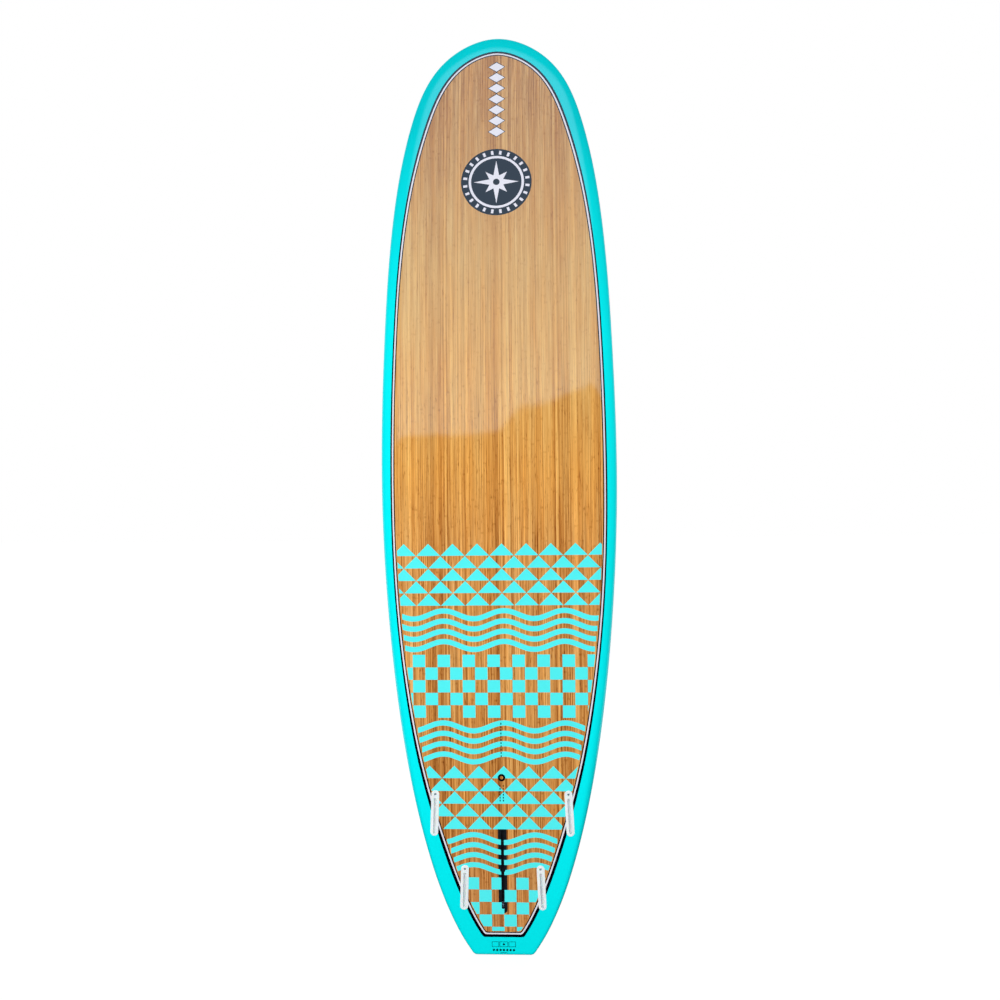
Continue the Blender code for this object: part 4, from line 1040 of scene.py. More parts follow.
def handle_cup_mesh(place):
    flange = loft(rectangle_outline(HANDLE_FLANGE, HANDLE_CORNER),
                  [(0.0030, -0.0012), (0.0012, -0.0010), (0.0003, -0.0005), (0.0, 0.0001),
                   (0.0, 0.0022)], place)
    cup = loft(rectangle_outline(HANDLE_CUP, HANDLE_CORNER / 2),
               [(0.0, 0.0010), (0.0, HANDLE_DEPTH - 0.005), (0.0015, HANDLE_DEPTH - 0.0015),
                (0.0050, HANDLE_DEPTH)], place)
    floor = HANDLE_DEPTH - HANDLE_WALL
    pocket = loft(rectangle_outline([side - 2 * HANDLE_WALL for side in HANDLE_CUP],
                                    HANDLE_CORNER / 2),
                  [(-0.0040, -0.0030), (-0.0024, -0.0012), (-0.0009, -0.0004), (-0.0001, 0.0010),
                   (0.0, 0.0030), (0.0, floor - 0.008), (0.0015, floor - 0.003),
                   (0.0050, floor - 0.0006), (0.0080, floor)], place)
    return carved(flange, [cup], [pocket])


def handle_grip_mesh(place):
    """Ribbed rubber sleeve, hollow for the bar."""
    radius, bore, half = 0.0125, 0.0063, 0.050
    ribs, rib, margin = 12, 0.0012, 0.008
    end = [(bore, half), (radius - 0.0030, half), (radius - 0.0008, half - 0.0012),
           (radius, half - 0.0035)]
    profile = [(r, -along) for r, along in end]
    pitch = 2 * (half - margin) / ribs
    for k in range(ribs):
        start = margin - half + k * pitch
        profile += [(radius, start), (radius - rib, start + 0.18 * pitch),
                    (radius - rib, start + 0.32 * pitch), (radius, start + 0.50 * pitch)]
    return turned(profile + end[::-1], place, closed=True)


def vent_body_mesh(place):
    bore, recess, flange, body = 0.0044, 0.0100, VENT_RADIUS, 0.0130
    return turned([(bore, 0.0175), (bore, 0.0060), (recess, 0.0060), (recess, 0.0),
                   (0.0104, -0.0006), (0.0110, -0.0008), (flange - 0.0012, -0.0008),
                   (flange - 0.0003, -0.0004), (flange, 0.0002), (flange, 0.0022), (body, 0.0022),
                   (body, 0.0195), (0.0125, 0.0200)], place)


def vent_screw_mesh(place):
    head, root, ridge = 0.0085, 0.0036, 0.0004
    profile = [(0.0073, 0.0002), (0.0081, 0.0004), (head, 0.0010), (head, 0.0034),
               (0.0081, 0.0038), (root + ridge, 0.0039)]
    profile += thread(0.0042, 0.0150, 0.0012, root, ridge)
    profile += [(0.0028, 0.0160)]
    slot = loft(rectangle_outline((0.0022, 0.0120), 0.0008),
                [(-0.0003, -0.0010), (-0.0003, 0.0002), (0.0, 0.0005), (0.0, 0.0018)], place)
    return carved(turned(profile, place, steps=2 * CIRCLE_STEPS), cuts=[slot])


def vent_seal_mesh(place):
    radius, section, steps = 0.0062, 0.0009, 16
    angles = [math.tau * k / steps for k in range(steps)]
    profile = [(radius + section * math.cos(a), section * math.sin(a)) for a in angles]
    return turned(profile, shifted(place, depth=0.0049), closed=True)


def leash_cup_mesh(place):
    pocket, flange, body = 0.0140, LEASH_RADIUS, 0.0170
    return turned([(pocket - 0.003, 0.0170), (pocket - 0.0008, 0.0162), (pocket, 0.0140),
                   (pocket, 0.0010), (pocket + 0.0004, 0.0), (pocket + 0.0014, -0.0006),
                   (flange - 0.0014, -0.0006), (flange - 0.0003, -0.0003), (flange, 0.0003),
                   (flange, 0.0020), (body, 0.0020), (body, 0.0195), (body - 0.0010, 0.0205)],
                  place)


def rod_mesh(radius, chamfer, half, place):
    """Plain rod with chamfered ends along the depth axis of a frame."""
    return turned([(radius - chamfer, -half), (radius, -half + chamfer), (radius, half - chamfer),
                   (radius - chamfer, half)], place)


# ---------------------------------------------------------------- deck pads
def pad_edge(z, low):
    """Half width of the grip pad at a height, rounded in towards its nose end."""
    inset = SIDE + inward_normals(SIDE) * PAD_INSET
    half = np.interp(z, inset[:, 1], inset[:, 0])
    start = PAD_MAIN[1] - PAD_NOSE_ROUND
    share = np.clip((z - start) / PAD_NOSE_ROUND, 0, 1)
    corner = np.clip((low + PAD_CORNER - z) / PAD_CORNER, 0, 1)
    rounded = half * (1 - share ** PAD_NOSE_POWER) ** (1 / PAD_NOSE_POWER)
    return rounded - PAD_CORNER * (1 - np.sqrt(1 - corner ** 2))


def inset_polygon(points, distance):
    """Closed polygon, counterclockwise, moved inwards."""
    ahead = np.roll(points, -1, axis=0) - points
    ahead /= np.hypot(*ahead.T)[:, None]
    behind = np.roll(ahead, 1, axis=0)
    normals = np.column_stack([-ahead[:, 1], ahead[:, 0]])
    normals = normals + np.column_stack([-behind[:, 1], behind[:, 0]])
    normals *= (2 / (normals ** 2).sum(1))[:, None]
    return points + normals * distance


def distance_to(points, loops):
    """Distance in plan from points to the nearest of some closed polygons."""
    best = np.full(len(points), np.inf)
    for loop in loops:
        for start, end in zip(loop, np.roll(loop, -1, axis=0)):
            move = end - start
            share = np.clip(((points - start) @ move) / (move @ move), 0, 1)
            best = np.minimum(best, np.hypot(*(points - start - share[:, None] * move).T))
    return best


def groove_lines(low, high):
    """Segments of the diamond grooves' edges and bottoms inside a box in plan."""
    lean = math.hypot(1, GROOVE_SLOPE)
    rise = GROOVE_SPACING * lean
    segments = []
    for sign in (1, -1):
        reach = max(abs(low[0]), abs(high[0])) * GROOVE_SLOPE
        for k in range(int((low[1] - reach) / rise), int((high[1] + reach) / rise) + 1):
            for shift in (-GROOVE_HALF, 0, GROOVE_HALF):
                base = k * rise + shift * lean
                ends = sorted([(low[1] - base) / GROOVE_SLOPE, (high[1] - base) / GROOVE_SLOPE])
                if sign < 0:
                    ends = [-ends[1], -ends[0]]
                left, right = max(low[0], ends[0]), min(high[0], ends[1])
                if right - left > GROOVE_HALF:
                    segments.append([(x, base + sign * GROOVE_SLOPE * x) for x in (left, right)])
    return segments


def groove_depth(plan):
    lean = math.hypot(1, GROOVE_SLOPE)
    rise = GROOVE_SPACING * lean
    nearest = np.full(len(plan), np.inf)
    for sign in (1, -1):
        across = (plan[:, 1] - sign * GROOVE_SLOPE * plan[:, 0] + rise / 2) % rise - rise / 2
        nearest = np.minimum(nearest, np.abs(across) / lean)
    return GROOVE_DEPTH * np.clip(1 - nearest / GROOVE_HALF, 0, 1)


def pad_mesh(outline, opening):
    """Foam sheet on the deck with diamond grooves and bevelled edges."""
    loops = []
    for distance, _ in PAD_BEVEL:
        loops += [inset_polygon(outline, distance), inset_polygon(opening, -distance)]
    plan, faces = triangulated(loops, groove_lines(outline.min(0), outline.max(0)))
    centres = plan[faces].mean(1)
    faces = faces[inside(outline, centres) & ~inside(opening, centres)]
    used, faces = np.unique(faces, return_inverse=True)
    plan, faces = plan[used], faces.reshape(-1, 3)
    face_outwards(plan, faces, True)
    bevel_at, bevel_drop = zip(*PAD_BEVEL)
    drop = np.interp(distance_to(plan, [outline, opening]), bevel_at, bevel_drop)
    base = skin_points(plan, True)
    top = base.copy()
    top[:, 1] += PAD_TOP - np.maximum(drop, groove_depth(plan))
    mesh, _ = walled("pad", top, base + (0, PAD_BASE, 0), faces)
    return smooth(mesh)


def pad_outlines():
    """Outlines of the three pads, counterclockwise in plan."""
    def heights(low, high):
        return low + (high - low) * (1 - np.cos(np.pi * np.arange(PAD_STEPS + 1) / PAD_STEPS)) / 2

    main = heights(*PAD_MAIN)
    edge = np.maximum(pad_edge(main, PAD_MAIN[0]), PAD_CENTRE_GAP + GAP)
    right = np.vstack([np.column_stack([edge, main]),
                       np.column_stack([0 * main + PAD_CENTRE_GAP, main])[::-1]])
    tail = heights(*PAD_TAIL)
    tail_edge = pad_edge(tail, PAD_TAIL[0])
    return {
        "right": right,
        "left": (right * (-1, 1))[::-1],
        "tail": np.vstack([np.column_stack([tail_edge, tail]),
                           np.column_stack([-tail_edge, tail])[::-1]]),
    }


# ---------------------------------------------------------------- materials
class Nodes:
    """Adds nodes to a tree; values are numbers, colours or sockets of other nodes."""

    ranges = "LINEAR"

    def __init__(self, tree):
        self.tree = tree

    def add(self, kind, *values, **settings):
        """New node with its first inputs fed in order; named settings are set on the node."""
        node = self.tree.nodes.new(kind)
        for key, value in settings.items():
            setattr(node, key, value)
        for socket, value in zip(node.inputs, values):
            self.feed(socket, value)
        return node

    def feed(self, socket, value):
        if isinstance(value, bpy.types.NodeSocket):
            self.tree.links.new(value, socket)
        elif value is not None:
            socket.default_value = value

    def math(self, operation, *values):
        return self.add("ShaderNodeMath", *values, operation=operation).outputs[0]

    def spread(self, value, low, high, to_low=0.0, to_high=1.0):
        """Map from one range to another, clamped."""
        return self.add("ShaderNodeMapRange", value, low, high, to_low, to_high,
                        interpolation_type=self.ranges).outputs[0]

    def blended(self, factor, *ends):
        """Mix of two colours; the colour inputs come after the number and vector inputs."""
        ends = [end if isinstance(end, bpy.types.NodeSocket) else (*end, 1) for end in ends]
        skipped = [None] * 5
        return self.add("ShaderNodeMix", factor, *skipped, *ends, data_type="RGBA").outputs[2]


class Finish(Nodes):
    """Builds one procedural material, its patterns in metres in the object's frame."""

    def __init__(self, name):
        self.material = bpy.data.materials.new(name)
        self.material.use_nodes = True
        super().__init__(self.material.node_tree)
        self.surface = self.tree.nodes["Principled BSDF"]
        self.place = self.tree.nodes.new("ShaderNodeTexCoord").outputs["Object"]
        self.x, _, self.z = self.add("ShaderNodeSeparateXYZ", self.place).outputs

    def noise(self, scale, detail=3.0):
        """Noise with this many features per metre, in all directions or by axis."""
        if isinstance(scale, tuple):
            return self.noise_at(self.times(self.place, scale), 1.0, detail)
        return self.noise_at(self.place, scale, detail)

    def noise_at(self, vector, scale, detail):
        return self.add("ShaderNodeTexNoise", vector, None, scale, detail).outputs[0]

    def cells(self, scale):
        """Distance inside a pattern of cells."""
        return self.add("ShaderNodeTexVoronoi", self.place, None, scale).outputs["Distance"]

    def random(self, value):
        return self.add("ShaderNodeTexWhiteNoise", None, value, noise_dimensions="1D").outputs[0]

    def vary(self, noise, low, high):
        """Value between two ends that follows a noise."""
        return self.spread(noise, *NOISE_RANGE, low, high)

    def times(self, first, second):
        """Product of two colours or vectors."""
        return self.add("ShaderNodeVectorMath", first, second, operation="MULTIPLY").outputs[0]

    def shaded(self, colour, factor):
        """Colour times a brightness."""
        return self.add("ShaderNodeVectorMath", colour, None, None, factor,
                        operation="SCALE").outputs[0]

    def ramp(self, value, stops):
        """Colour along a value, from (position, colour) stops."""
        node = self.add("ShaderNodeValToRGB", value)
        elements = node.color_ramp.elements
        while len(elements) < len(stops):
            elements.new(0.5)
        for element, (position, colour) in zip(elements, stops):
            element.position = position
            element.color = (*colour, 1)
        return node.outputs[0]

    def by_height(self, tones):
        """Colour from (height from the tail, colour) stops."""
        return self.ramp(self.math("DIVIDE", self.z, LENGTH),
                         [(z / LENGTH, colour) for z, colour in tones])

    def done(self, bump=None, **inputs):
        """Feed the surface's inputs, named with underscores, and return the material.

        The bump is given as (height, depth in metres).
        """
        if bump:
            node = self.tree.nodes.new("ShaderNodeBump")
            for key, value in zip(("Height", "Distance", "Strength"), (*bump, 1.0)):
                self.feed(node.inputs[key], value)
            inputs["Normal"] = node.outputs[0]
        for key, value in inputs.items():
            self.feed(self.surface.inputs[key.replace("_", " ")], value)
        return self.material


def bamboo_finish(name, tones, offset, resin):
    """Narrow vertical bamboo strips with fibres and nodes, under clear resin."""
    f = Finish(name)
    across = f.math("ADD", f.math("DIVIDE", f.x, BAMBOO_STRIP), offset)
    strip_number = f.math("FLOOR", across)
    own = f.random(strip_number)
    other = f.random(f.math("ADD", strip_number, 0.37))
    split = f.random(f.math("FLOOR", f.math("MULTIPLY", across, BAMBOO_SPLITS)))
    shift = f.math("MULTIPLY", own, 7.0)
    along_strip = f.add("ShaderNodeCombineXYZ", strip_number, 0.0,
                        f.math("ADD", f.math("MULTIPLY", f.z, 1.6), shift)).outputs[0]
    slow = f.noise_at(along_strip, 1.0, 2.0)
    fibres = f.noise((900.0, 60.0, 9.0), 4.0)
    flecks = f.noise((420.0, 40.0, 42.0), 2.0)
    streaks = f.noise((330.0, 30.0, 5.0), 4.0)

    def from_middle(value):
        return f.math("ABSOLUTE", f.math("SUBTRACT", f.math("FRACT", value), 0.5))

    seam = f.spread(from_middle(across), 0.465, 0.495)
    node_line = f.spread(from_middle(f.math("ADD", f.math("DIVIDE", f.z, BAMBOO_NODE_STEP), shift)),
                         0.0, 0.018, 1.0, 0.0)
    node_line = f.math("MULTIPLY", node_line, f.spread(fibres, 0.42, 0.60))
    figure = f.math("MULTIPLY", f.math("SUBTRACT", own, 0.5), 0.22)
    for value, share in ((split, 0.26), (slow, 0.30), (fibres, 0.60), (streaks, 0.75)):
        figure = f.math("ADD", figure, f.math("MULTIPLY", f.math("SUBTRACT", value, 0.5), share))
    for value, share in ((f.spread(flecks, 0.60, 0.74), 0.26), (node_line, 0.20), (seam, 0.22)):
        figure = f.math("SUBTRACT", figure, f.math("MULTIPLY", value, share))
    strength = [f.spread(f.z, low, high, first, second)
                for (low, first), (high, second) in (BAMBOO_FIGURE, BAMBOO_NOSE_FIGURE)]
    light = f.math("ADD", 1.03, f.math("MULTIPLY", figure, f.math("ADD", *strength)))
    tone = f.by_height(tones)
    patches = f.spread(f.noise((48.0, 10.0, 2.4)), 0.36, 0.68)
    hue = f.math("ADD", f.math("MULTIPLY", other, 0.35), f.math("MULTIPLY", patches, 0.80))
    tone = f.blended(hue, tone, f.times(tone, BAMBOO_WARMTH))
    tint = f.add("ShaderNodeCombineXYZ",
                 *[f.math("POWER", light, power) for power in BAMBOO_TINT]).outputs[0]
    return f.done((fibres, 0.00004), Base_Color=f.times(tone, tint),
                  Roughness=f.vary(fibres, 0.42, 0.55), Specular_IOR_Level=0.0, Coat_Weight=1.0,
                  Coat_Roughness=f.vary(f.noise(3.0), resin, resin * RESIN_WEAR))


def ink_finish(name, colour, variation):
    """Ink or paint under clear resin: faintly uneven, with the weave of the cloth just visible."""
    f = Finish(name)
    patches = f.noise(5.0)
    weave = f.noise((700.0, 60.0, 260.0), 2.0)
    light = f.math("ADD", f.vary(patches, 1 - variation, 1 + variation),
                   f.vary(weave, -variation / 2, variation / 2))
    return f.done((weave, 0.00002), Base_Color=f.shaded(colour, light), Specular_IOR_Level=0.0,
                  Roughness=f.vary(weave, 0.40, 0.50), Coat_Weight=1.0,
                  Coat_Roughness=f.vary(patches, RESIN, RESIN * RESIN_WEAR))


def paint_finish():
    """Gloss paint on the rail, faintly cloudy, with a little orange peel."""
    f = Finish("turquoise_paint")
    patches, peel = f.noise(3.0), f.noise(260.0, 1.0)
    light = f.math("ADD", f.vary(patches, 0.975, 1.02), f.vary(peel, -0.008, 0.008))
    # The base colour by height carries painted shade, darker towards the nose.
    return f.done((peel, 0.000012), Base_Color=f.shaded(f.by_height(RAIL_TONES_AND_SHADE), light),
                  Specular_IOR_Level=0.0, Roughness=f.vary(patches, 0.30, 0.36),
                  Coat_Weight=1.0, Coat_Roughness=0.06)


def plastic_finish():
    """Moulded black plastic with a fine grain."""
    f = Finish("black_plastic")
    pebbles, patches = f.cells(1800.0), f.noise(40.0)
    return f.done((pebbles, 0.00004),
                  Base_Color=f.shaded((0.0085, 0.0095, 0.0120), f.vary(patches, 0.8, 1.25)),
                  Roughness=f.spread(f.math("ADD", pebbles, patches), 0.4, 1.3, 0.30, 0.46))


def milky_finish():
    """Translucent milky plastic of the side fin boxes."""
    f = Finish("milky_plastic")
    flow = f.noise((60.0, 60.0, 14.0))
    colour = f.blended(f.vary(flow, 0.0, 1.0), (0.90, 0.98, 1.00), (0.96, 1.00, 1.00))
    return f.done((f.noise(900.0, 1.0), 0.00001), Base_Color=colour,
                  Roughness=f.vary(flow, 0.16, 0.28), Alpha=f.vary(flow, 0.88, 0.96),
                  Subsurface_Weight=0.12, Subsurface_Scale=0.004)


def steel_finish():
    """Turned stainless steel with fine marks."""
    f = Finish("stainless")
    marks = f.noise((900.0, 5200.0, 900.0))
    light = f.vary(f.noise(300.0), 0.88, 1.08)
    return f.done((marks, 0.00002), Base_Color=f.shaded((0.62, 0.63, 0.65), light), Metallic=1.0,
                  Roughness=f.vary(marks, 0.20, 0.38))


def eva_finish():
    """Charcoal closed-cell foam: fine pores and small lighter specks."""
    f = Finish("eva_foam")
    pores = f.cells(900.0)
    specks = f.spread(f.noise(1400.0, 2.0), 0.60, 0.72)
    base = f.shaded((0.050, 0.054, 0.059), f.vary(f.noise(12.0), 0.86, 1.18))
    colour = f.blended(f.math("MULTIPLY", specks, 0.35), base, (0.16, 0.17, 0.18))
    return f.done((pores, 0.00012), Base_Color=colour, Specular_IOR_Level=0.25,
                  Roughness=f.spread(pores, 0.0, 0.6, 0.92, 0.72))


def rubber_finish():
    """Matt moulded rubber, worn slightly grey."""
    f = Finish("soft_rubber")
    wear = f.noise(70.0)
    return f.done((f.cells(1500.0), 0.00006), Roughness=f.vary(wear, 0.62, 0.80),
                  Base_Color=f.shaded((0.018, 0.018, 0.020), f.vary(wear, 0.7, 1.6)))


def bead_foam_finish(name, colour, scale):
    """Foam of pressed beads, with darker joints between the beads."""
    f = Finish(name)
    beads = f.cells(scale)
    light = f.math("ADD", f.spread(beads, 0.2, 0.7, 1.0, 0.86), f.vary(f.noise(20.0), -0.03, 0.03))
    return f.done((f.math("SUBTRACT", 1.0, beads), 0.0008), Base_Color=f.shaded(colour, light),
                  Roughness=f.spread(beads, 0.2, 0.7, 0.8, 0.95))


def stringer_finish():
    """Planed light wood with grain along the board."""
    f = Finish("stringer_wood")
    grain = f.noise((260.0, 220.0, 6.0), 4.0)
    colour = f.ramp(grain, [(0.3, (0.46, 0.27, 0.13)), (0.5, (0.60, 0.40, 0.22)),
                            (0.7, (0.70, 0.50, 0.30))])
    return f.done((grain, 0.0002), Base_Color=colour, Roughness=f.vary(grain, 0.5, 0.7))


# ---------------------------------------------------------------- pieces of the board
def add_sheets(shapes, filling, on_deck, looks):
    """One thin sheet for each label, with its (finish, record slot, CAD node it stands for).

    The ground between the print belongs to the veneer.
    """
    points, normals, groups = partition(shapes, filling, on_deck)
    if "ground" in groups:
        groups["bottom_bamboo"] = np.vstack([groups["bottom_bamboo"], groups.pop("ground")])
    for label, faces in groups.items():
        add_piece(label, sheet_solid(label, points, faces, normals, SKIN_SHEET), *looks[label])


def band_loop(extra, on_deck):
    """Loop inside the painted band's inner edge by some distance."""
    if on_deck:
        return loop_at(np.zeros(len(SIDE)) + BAND_OVER + extra, BAND_OVER_END + extra,
                       BAND_CORNER_RADIUS)
    return loop_at(BAND_UNDER_AT(SIDE[:, 1]) + extra, BAND_UNDER_END + extra[0],
                   BAND_CORNER_RADIUS)


def edge_rings(inner, on_deck):
    """Plan points in rings inside the innermost loop, for a smooth edge of the skin."""
    return np.vstack([band_loop(inner + extra, on_deck)[::2] for extra in EDGE_RINGS])


def build_bottom(side_frames, centre_frame):
    outer = OUTER_LINE_AT(SIDE[:, 1])
    widths = np.cumsum([0, WHITE_LINE, INNER_LINE, PRINT_MARGIN])
    loops = [band_loop(extra, False) for extra in [0 * outer] + [outer + w for w in widths]]
    names = ("border_line_outer", "border_line_white", "border_line_inner", "bottom_bamboo", "ground")
    shapes = [(name, loop, None) for name, loop in zip(names, loops)]
    panel = loops[-1]
    for name, polygon in print_polygons():
        if inside(panel, polygon).any():
            if isinstance(PRINT_BANDS[name], Waves):
                polygon = clipped_waves(polygon, panel)
            shapes.append((name, polygon, ["ground"]))
    shapes += emblem_polygons() + motif_polygons() + centre_mark_polygons()
    shapes += [("centre_box_rim", placed(stadium_outline(CENTRE_BOX)(0.0), centre_frame), ["ground"]),
               ("", placed(stadium_outline(CENTRE_SLOT)(0.0), centre_frame), None),
               ("", placed(circle(CENTRE_ENTRY_RADIUS), centre_frame), None)]
    shapes += [("", placed(stadium_outline(SIDE_BOX)(SKIN_LAP), place), None)
               for place in side_frames]
    clear = EDGE_RINGS[-1] + widths[-1] + OUTER_LINE[1] + GRID_X / 2
    grid = grid_filling(panel, lambda z: BAND_UNDER_AT(z) + clear)
    looks = {name: (PRINT_INK, "turquoise_paint") for name in PRINT_BANDS}
    looks.update({name: (BLACK_INK,) for name in ("border_line_outer", "border_line_inner",
                                                  "emblem_disc", "motif_edge", "centre_marks")})
    looks.update({name: (WHITE_INK,) for name in ("border_line_white", "emblem_marks",
                                                  "motif_face")})
    looks["bottom_bamboo"] = (BAMBOO_BOTTOM, "bamboo", "bottom_veneer")
    looks["centre_box_rim"] = (BLACK_PLASTIC, "black_plastic")
    add_sheets(shapes, np.vstack([edge_rings(outer + widths[-1], False), grid]), False, looks)
    points, normals, groups = partition(tail_mark_polygons(), [], False)
    mesh = sheet_solid("tail_marks", points + normals * MARK_PROUD, groups["tail_marks"], normals,
                       MARK_DEPTH)
    add_piece("tail_marks", mesh, BLACK_INK)


def build_deck(handle_frame, vent_frame, leash_frame):
    widths = np.cumsum([0, DECK_OUTER_LINE, DECK_WHITE_LINE, DECK_INNER_LINE])
    loops = [band_loop(width, True) for width in widths]
    looks = {"deck_line_outer": (BLACK_INK,), "deck_line_white": (WHITE_INK,),
             "deck_line_inner": (BLACK_INK,),
             "deck_bamboo": (BAMBOO_DECK, "bamboo", "deck_veneer")}
    shapes = [(name, loop, None) for name, loop in zip(looks, loops)]
    flange = rectangle_outline(HANDLE_FLANGE, HANDLE_CORNER)(SKIN_LAP)
    shapes += [("", placed(flange, handle_frame), None),
               ("", placed(circle(VENT_RADIUS - SKIN_LAP), vent_frame), None),
               ("", placed(circle(LEASH_RADIUS - SKIN_LAP), leash_frame), None)]
    clear = BAND_OVER + widths[-1] + EDGE_RINGS[-1] + GRID_X / 2
    grid = grid_filling(loops[-1], lambda z: clear)
    add_sheets(shapes, np.vstack([edge_rings(widths[-1], True), grid]), True, looks)


def build_rail(side_frames):
    cuts = [loft(stadium_outline(SIDE_BOX), [(SKIN_LAP, -0.010), (SKIN_LAP, 0.006)], place)
            for place in side_frames]
    add_piece("rail_paint", carved(rail_mesh(), cuts=cuts), RAIL_FINISH, "turquoise_paint",
              "rail_wrap")


def build_fittings(side_places, centre_frame, screw_frame, handle_frame, vent_frame, leash_frame):
    lying = shifted(handle_frame, depth=HANDLE_BAR_DEPTH) @ Matrix.Rotation(math.pi / 2, 4, "X")
    bar_half = HANDLE_CUP[1] / 2 - HANDLE_WALL - GAP
    across = shifted(leash_frame, depth=LEASH_PIN_DEPTH) @ Matrix.Rotation(math.pi / 2, 4, "Z")
    plastic, steel = (BLACK_PLASTIC, "black_plastic"), (STEEL, "stainless")
    rubber = (RUBBER, "soft_rubber")
    for tag, (place, at_bore) in side_places.items():
        add_piece(f"side_box_{tag}", side_box_mesh(place), MILKY_PLASTIC, "clear_plastic",
                  f"fin_box_{tag}")
        add_piece(f"grub_screw_{tag}", set_screw_mesh(at_bore), *steel, f"set_screw_{tag}")
    for name, mesh, look, node in (
            ("centre_box", centre_box_mesh(centre_frame), plastic, "centre_fin_box"),
            ("sliding_plate", fin_plate_mesh(screw_frame), steel, "fin_plate"),
            ("plate_screw", fin_screw_mesh(screw_frame), steel, "fin_screw"),
            ("carry_cup", handle_cup_mesh(handle_frame), plastic, "handle_cup"),
            ("carry_bar", rod_mesh(*HANDLE_BAR, bar_half, lying), plastic, "handle_bar"),
            ("carry_grip", handle_grip_mesh(lying), rubber, "handle_grip"),
            ("vent_housing", vent_body_mesh(vent_frame), plastic, "vent_body"),
            ("vent_plug", vent_screw_mesh(vent_frame), plastic, "vent_screw"),
            ("vent_ring", vent_seal_mesh(vent_frame), rubber, "vent_seal"),
            ("leash_plug", leash_cup_mesh(leash_frame), plastic, "leash_cup"),
            ("leash_bar", rod_mesh(*LEASH_PIN, LEASH_PIN_HALF, across), steel, "leash_pin")):
        add_piece(name, mesh, *look, node)


def build_pads(handle_frame):
    opening = placed(rectangle_outline(PAD_OPENING, PAD_OPENING_CORNER)(0.0), handle_frame)
    if np.cross(opening[1] - opening[0], opening[2] - opening[1]) < 0:
        opening = opening[::-1]
    for side, outline in pad_outlines().items():
        add_piece(f"grip_pad_{side}", pad_mesh(outline, opening), EVA, "eva_foam",
                  f"deck_pad_{side}")


def finish_cores():
    """Finishes of the inner parts that keep their CAD shape."""
    finishes = {"foam_": DENSE_FOAM, "core_": LIGHT_FOAM, "stringer": STRINGER_WOOD}
    for name, node in frame["nodes"].items():
        for start, finish in finishes.items():
            if name.startswith(start):
                for material_slot in node.material_slots:
                    material_slot.material = finish


# ---------------------------------------------------------------- stage
def floor_finish():
    """White floor that stays white round the object and keeps a soft contact shadow."""
    f = Finish("floor")
    path = f.tree.nodes.new("ShaderNodeLightPath")
    glow = f.math("MULTIPLY", path.outputs["Is Camera Ray"], 1 - FLOOR_GLOW_LOSS * FLOOR_SHADOW)
    return f.done(Base_Color=(FLOOR_SHADOW,) * 3 + (1,), Roughness=0.9, Specular_IOR_Level=0.0,
                  Emission_Color=(1, 1, 1, 1), Emission_Strength=glow)


def add_floor():
    mesh = bpy.data.meshes.new("floor")
    corners = [(-1, -1), (1, -1), (1, 1), (-1, 1)]
    mesh.from_pydata([(x * FLOOR_HALF, y * FLOOR_HALF, 0) for x, y in corners], [],
                     [(0, 1, 2, 3)])
    mesh.materials.append(floor_finish())
    floor = bpy.data.objects.new("floor", mesh)
    floor.location.z = CAD_BOX[0].z - FLOOR_DROP
    floor.visible_glossy = False
    bpy.context.scene.collection.objects.link(floor)


def add_lights():
    """Large soft lights that aren't mirrored in the resin."""
    for name, (place, power) in LIGHTS.items():
        lamp = bpy.data.lights.new(name, "AREA")
        lamp.shape = "RECTANGLE"
        lamp.size, lamp.size_y = LIGHT_SIZE
        lamp.energy = power
        obj = bpy.data.objects.new(name, lamp)
        obj.location = place
        aim = Vector(LIGHT_AIM) - Vector(place)
        obj.rotation_euler = aim.to_track_quat("-Z", "Y").to_euler()
        obj.visible_glossy = False
        bpy.context.scene.collection.objects.link(obj)


class Sky(Nodes):
    """Nodes of the world, with soft steps."""

    ranges = "SMOOTHSTEP"


